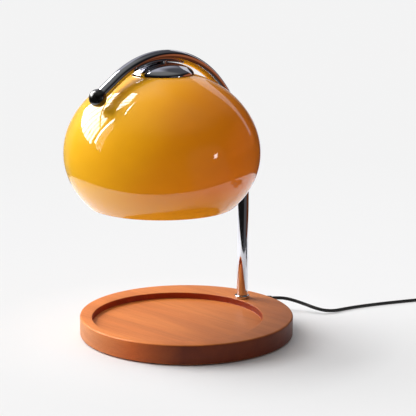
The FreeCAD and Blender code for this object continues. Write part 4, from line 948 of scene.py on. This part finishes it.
# ---------------------------------------------------------------------------------------------
# floor and light; distances here are metres, azimuths and elevations degrees

# what the camera sees behind the lamp, and the soft light on matt surfaces from level and above
BACKDROP = (0.888, 0.888, 0.888)
LOW_AMBIENT, HIGH_AMBIENT = 0.07, 0.47

# the round table, and how much of the backdrop replaces it for the camera, by the distance from
# the lamp: one share comes in close to the base, the other farther out
TABLE = (0.77, 0.77, 0.78)
TABLE_X, TABLE_Y = -0.121, 0.118
TABLE_RADIUS = 0.386
NEAR_SHARE, NEAR_SPAN = 0.68, (0.100, 0.20)
FAR_SHARE, FAR_SPAN = 0.22, (0.20, 0.9)

# the table's window-lit side, as gloss mirrors it: its light rises and then falls with distance
SHEEN_AZIMUTH = -140.0
SHEEN_LOW, SHEEN_HIGH = 0.03, 0.46
SHEEN_RISE, SHEEN_FALL = (0.02, 0.20), (0.19, 0.40)

# the room, as gloss mirrors it; the pale and the brown wall differ below and above the table
ROOM = (0.010, 0.009, 0.009)
GREY_WALL = (0.09, 0.09, 0.095)
WARM_WALL = (0.30, 0.27, 0.20)
PALE_LOW, PALE_HIGH = (0.80, 0.80, 0.86), (0.26, 0.26, 0.27)
BROWN_LOW, BROWN_HIGH = (0.13, 0.035, 0.012), (0.40, 0.12, 0.048)
CEILING = (0.010, 0.010, 0.012)
CEILING_MIDDLE = (0.21, 0.21, 0.205)
BRIGHT_PATCH = (0.50, 0.50, 0.56)
GREY_PATCH = (0.09, 0.09, 0.10)

# where each of these lies: azimuth and elevation, and the cosines of the angles from there at
# which it begins and is full
GREY_WALL_SPOT = (10.0, 0.0, 0.88, 0.93)
BROWN_WALL_SPOT = (67.0, 0.0, 0.83, 0.92)
WARM_WALL_SPOT = (170.0, 0.0, 0.920, 0.975)
PALE_WALL_SPOT = (137.0, 0.0, 0.925, 0.970)
BRIGHT_PATCH_SPOT = (158.0, 46.0, 0.82, 0.95)
GREY_PATCH_SPOT = (100.0, 50.0, 0.89, 0.96)
CEILING_SPOT = (0.0, 90.0, 0.30, 0.45)
CEILING_MIDDLE_SPOT = (0.0, 90.0, 0.60, 0.92)


def facing(graph, vector, azimuth, elevation, begins, full):
    """1 where a unit vector points at a spot, 0 away from it, and soft between."""
    return graph.between(graph.along(vector, azimuth, elevation), 0.0, 1.0, begins, full)


def walls_around(graph, vector, brown_wall, pale_wall):
    """What gloss sees to each side: a dark room with four walls or pieces of wall."""
    colour = ROOM
    for wall, spot in (
        (GREY_WALL, GREY_WALL_SPOT),
        (brown_wall, BROWN_WALL_SPOT),
        (WARM_WALL, WARM_WALL_SPOT),
        (pale_wall, PALE_WALL_SPOT),
    ):
        colour = graph.mix(facing(graph, vector, *spot), colour, wall)
    return colour


def floor_material():
    """A pale round table. For the camera it passes into a plain backdrop. Gloss sees its lit side,
    and past its edge the room."""
    graph = Material("floor")
    position = graph.add("ShaderNodeNewGeometry").outputs["Position"]
    path = graph.add("ShaderNodeLightPath").outputs
    camera_ray, glossy_ray = path["Is Camera Ray"], path["Is Glossy Ray"]

    diffuse = graph.add("ShaderNodeBsdfDiffuse")
    graph.feed(TABLE, diffuse.inputs["Color"])
    away = graph.measure("DISTANCE", position, Vector((0.0, 0.0, 0.0)))
    near = graph.between(away, 0.0, NEAR_SHARE, *NEAR_SPAN)
    far = graph.between(away, 0.0, FAR_SHARE, *FAR_SPAN)
    share = graph.maths("MULTIPLY", graph.maths("ADD", near, far), camera_ray)
    table = graph.mix_shaders(share, diffuse.outputs[0], graph.emission(BACKDROP))

    reach = graph.along(position, SHEEN_AZIMUTH)
    rise = graph.between(reach, SHEEN_LOW, SHEEN_HIGH, *SHEEN_RISE)
    sheen = graph.maths("MULTIPLY", rise, graph.between(reach, 1.0, 0.0, *SHEEN_FALL))
    sheen = graph.emission((1.0, 1.0, 1.0), graph.maths("MULTIPLY", sheen, glossy_ray))
    both = graph.add("ShaderNodeAddShader")
    graph.join(table, both.inputs[0])
    graph.join(sheen, both.inputs[1])

    ahead = graph.add("ShaderNodeVectorMath", operation="NORMALIZE")
    graph.join(position, ahead.inputs[0])
    room = graph.emission(walls_around(graph, ahead.outputs[0], BROWN_LOW, PALE_LOW))
    away = graph.measure("DISTANCE", position, Vector((TABLE_X, TABLE_Y, 0.0)))
    past = graph.maths("MULTIPLY", graph.maths("GREATER_THAN", away, TABLE_RADIUS), glossy_ray)
    graph.show(graph.mix_shaders(past, both.outputs[0], room))
    return graph.material


FLOOR_SIZE = 60.0
half = FLOOR_SIZE / 2
floor_mesh = bpy.data.meshes.new("floor")
floor_mesh.from_pydata(
    [(-half, -half, 0), (half, -half, 0), (half, half, 0), (-half, half, 0)], [], [(0, 1, 2, 3)]
)
floor = bpy.data.objects.new("floor", floor_mesh)
scene.collection.objects.link(floor)
floor_mesh.materials.append(floor_material())


def sun(name, strength, azimuth, elevation, size):
    """A broad soft light from one direction, which gloss doesn't show."""
    lamp = bpy.data.objects.new(name, bpy.data.lights.new(name, "SUN"))
    scene.collection.objects.link(lamp)
    lamp.data.energy = strength
    lamp.data.angle = math.radians(size)
    lamp.rotation_euler = toward(azimuth, elevation).to_track_quat("Z", "Y").to_euler()
    lamp.visible_glossy = False


sun("window_sun", strength=3.8, azimuth=-156.0, elevation=42.0, size=46.0)
sun("back_sun", strength=1.0, azimuth=142.0, elevation=26.0, size=56.0)

# ---------------------------------------------------------------------------------------------
# the window and the bright arch that the shade mirrors

# the curtain's folds: their spacing, the share of it that is dim, and how bright that is
FOLD_PITCH = 0.50
FOLD_SHARE = 0.22
FOLD_LEVEL = 0.12


def glow(name, strength, colour=(1.0, 1.0, 1.0), folded=False):
    """Plain light, with the thin upright folds of a sheer curtain where it is folded."""
    graph = Material(name)
    if folded:
        across = graph.axes(graph.place())["Y"]
        part = graph.maths("FRACT", graph.maths("DIVIDE", across, FOLD_PITCH))
        fold = graph.maths("LESS_THAN", part, FOLD_SHARE)
        strength = graph.between(fold, strength, strength * FOLD_LEVEL)
    graph.show(graph.emission(colour, strength))
    return graph.material


WINDOW_LIGHT = glow("window_light", strength=12.5, folded=True)
PANE_LIGHT = glow("pane_light", strength=18.0)
DIM_LIGHT = glow("dim_light", strength=6.0)
ARCH_LIGHT = glow("arch_light", strength=0.75, colour=(0.95, 0.94, 1.0))
SPOT_LIGHT = glow("spot_light", strength=9.0)


def panel(name, look, offsets):
    """A flat light that only gloss shows. Its corners are offsets from the shade's middle."""
    middle = Vector((0, SHADE_Y * MM, SHADE_MIDDLE * MM))
    mesh = bpy.data.meshes.new(name)
    mesh.from_pydata([tuple(middle + offset) for offset in offsets], [], [(0, 1, 2, 3)])
    piece = bpy.data.objects.new(name, mesh)
    scene.collection.objects.link(piece)
    mesh.materials.append(look)
    piece.visible_camera = False
    piece.visible_diffuse = False
    piece.visible_shadow = False
    piece.visible_transmission = False


WINDOW_AWAY = 3.0


def pane(name, look, left, right, low, high, high_right=None, top_right=None):
    """A part of the window wall, which stands across -X, with left and right as the shade mirrors
    them. Its top and right edges may slope."""
    high_right = high if high_right is None else high_right
    top_right = right if top_right is None else top_right
    corners = [(-left, low), (-right, low), (-top_right, high_right), (-left, high)]
    panel(name, look, [Vector((-WINDOW_AWAY, y, z)) for y, z in corners])


pane("window_low", WINDOW_LIGHT, left=-0.46, right=2.88, low=0.93, high=2.50)
pane(
    "window_high",
    WINDOW_LIGHT,
    left=-0.46,
    right=2.88,
    low=2.66,
    high=5.60,
    high_right=6.30,
    top_right=1.15,
)
pane("window_side", PANE_LIGHT, left=3.30, right=3.72, low=1.30, high=5.0)
pane("window_top", PANE_LIGHT, left=1.0, right=3.7, low=7.45, high=7.62, high_right=8.05)

# the next window, farther to the right, as small panes in columns and rows
FAR_LEFT, FAR_LOW = 4.0, 0.9
FAR_WIDTH, FAR_HEIGHT = 0.13, 0.68
FAR_COLUMN_PITCH, FAR_ROW_PITCH = 0.42, 0.85
FAR_COLUMNS, FAR_ROWS = 4, 5
for column in range(FAR_COLUMNS):
    for row in range(FAR_ROWS):
        left, low = FAR_LEFT + FAR_COLUMN_PITCH * column, FAR_LOW + FAR_ROW_PITCH * row
        right, high = left + FAR_WIDTH, low + FAR_HEIGHT
        pane(f"window_far_{column}_{row}", DIM_LIGHT, left, right, low, high)

# the pale arch in the rear, in strips, and a small bright spot to the right; inside and outside
# are half the arch's width and its height, and all of these are degrees but the distance
AROUND = 3.0
ARCH_AZIMUTH, ARCH_FOOT = 109.5, 6.0
ARCH_INSIDE, ARCH_OUTSIDE = (18, 19), (23, 31)
ARCH_STRIPS = 16
SPOT_CORNERS = ((17.5, 2), (21, 3), (23.5, 9), (18, 7))
for number in range(ARCH_STRIPS):
    ends = [math.pi * (number + step) / ARCH_STRIPS for step in (0, 1)]
    corners = [
        (half_width * math.cos(angle), height * math.sin(angle))
        for (half_width, height), angles in ((ARCH_INSIDE, ends), (ARCH_OUTSIDE, ends[::-1]))
        for angle in angles
    ]
    offsets = [toward(ARCH_AZIMUTH + across, ARCH_FOOT + up, AROUND) for across, up in corners]
    panel(f"arch_{number}", ARCH_LIGHT, offsets)
panel("spot", SPOT_LIGHT, [toward(*corner, AROUND) for corner in SPOT_CORNERS])

# ---------------------------------------------------------------------------------------------
# world


def world_shader():
    """A pale backdrop for the camera, soft light from above for matt surfaces, and for gloss the
    room's walls under a dark ceiling with a paler middle and two patches."""
    world = bpy.data.worlds.new("world")
    scene.world = world
    graph = Graph(world)
    heading = graph.add("ShaderNodeTexCoord").outputs["Generated"]
    path = graph.add("ShaderNodeLightPath").outputs
    ceiling = CEILING
    for patch, spot in ((CEILING_MIDDLE, CEILING_MIDDLE_SPOT), (BRIGHT_PATCH, BRIGHT_PATCH_SPOT)):
        ceiling = graph.mix(facing(graph, heading, *spot), ceiling, patch)
    room = walls_around(graph, heading, BROWN_HIGH, PALE_HIGH)
    for patch, spot in ((ceiling, CEILING_SPOT), (GREY_PATCH, GREY_PATCH_SPOT)):
        room = graph.mix(facing(graph, heading, *spot), room, patch)
    up = graph.along(heading, 0.0, 90.0)
    ambient = graph.mix(up, (LOW_AMBIENT,) * 3, (HIGH_AMBIENT,) * 3)
    seen = graph.mix(path["Is Glossy Ray"], ambient, room)
    clear = graph.maths("MAXIMUM", path["Is Camera Ray"], path["Is Transmission Ray"])
    background = graph.add("ShaderNodeBackground")
    graph.join(graph.mix(clear, seen, BACKDROP), background.inputs["Color"])
    output = graph.add("ShaderNodeOutputWorld")
    graph.join(background.outputs[0], output.inputs["Surface"])


world_shader()
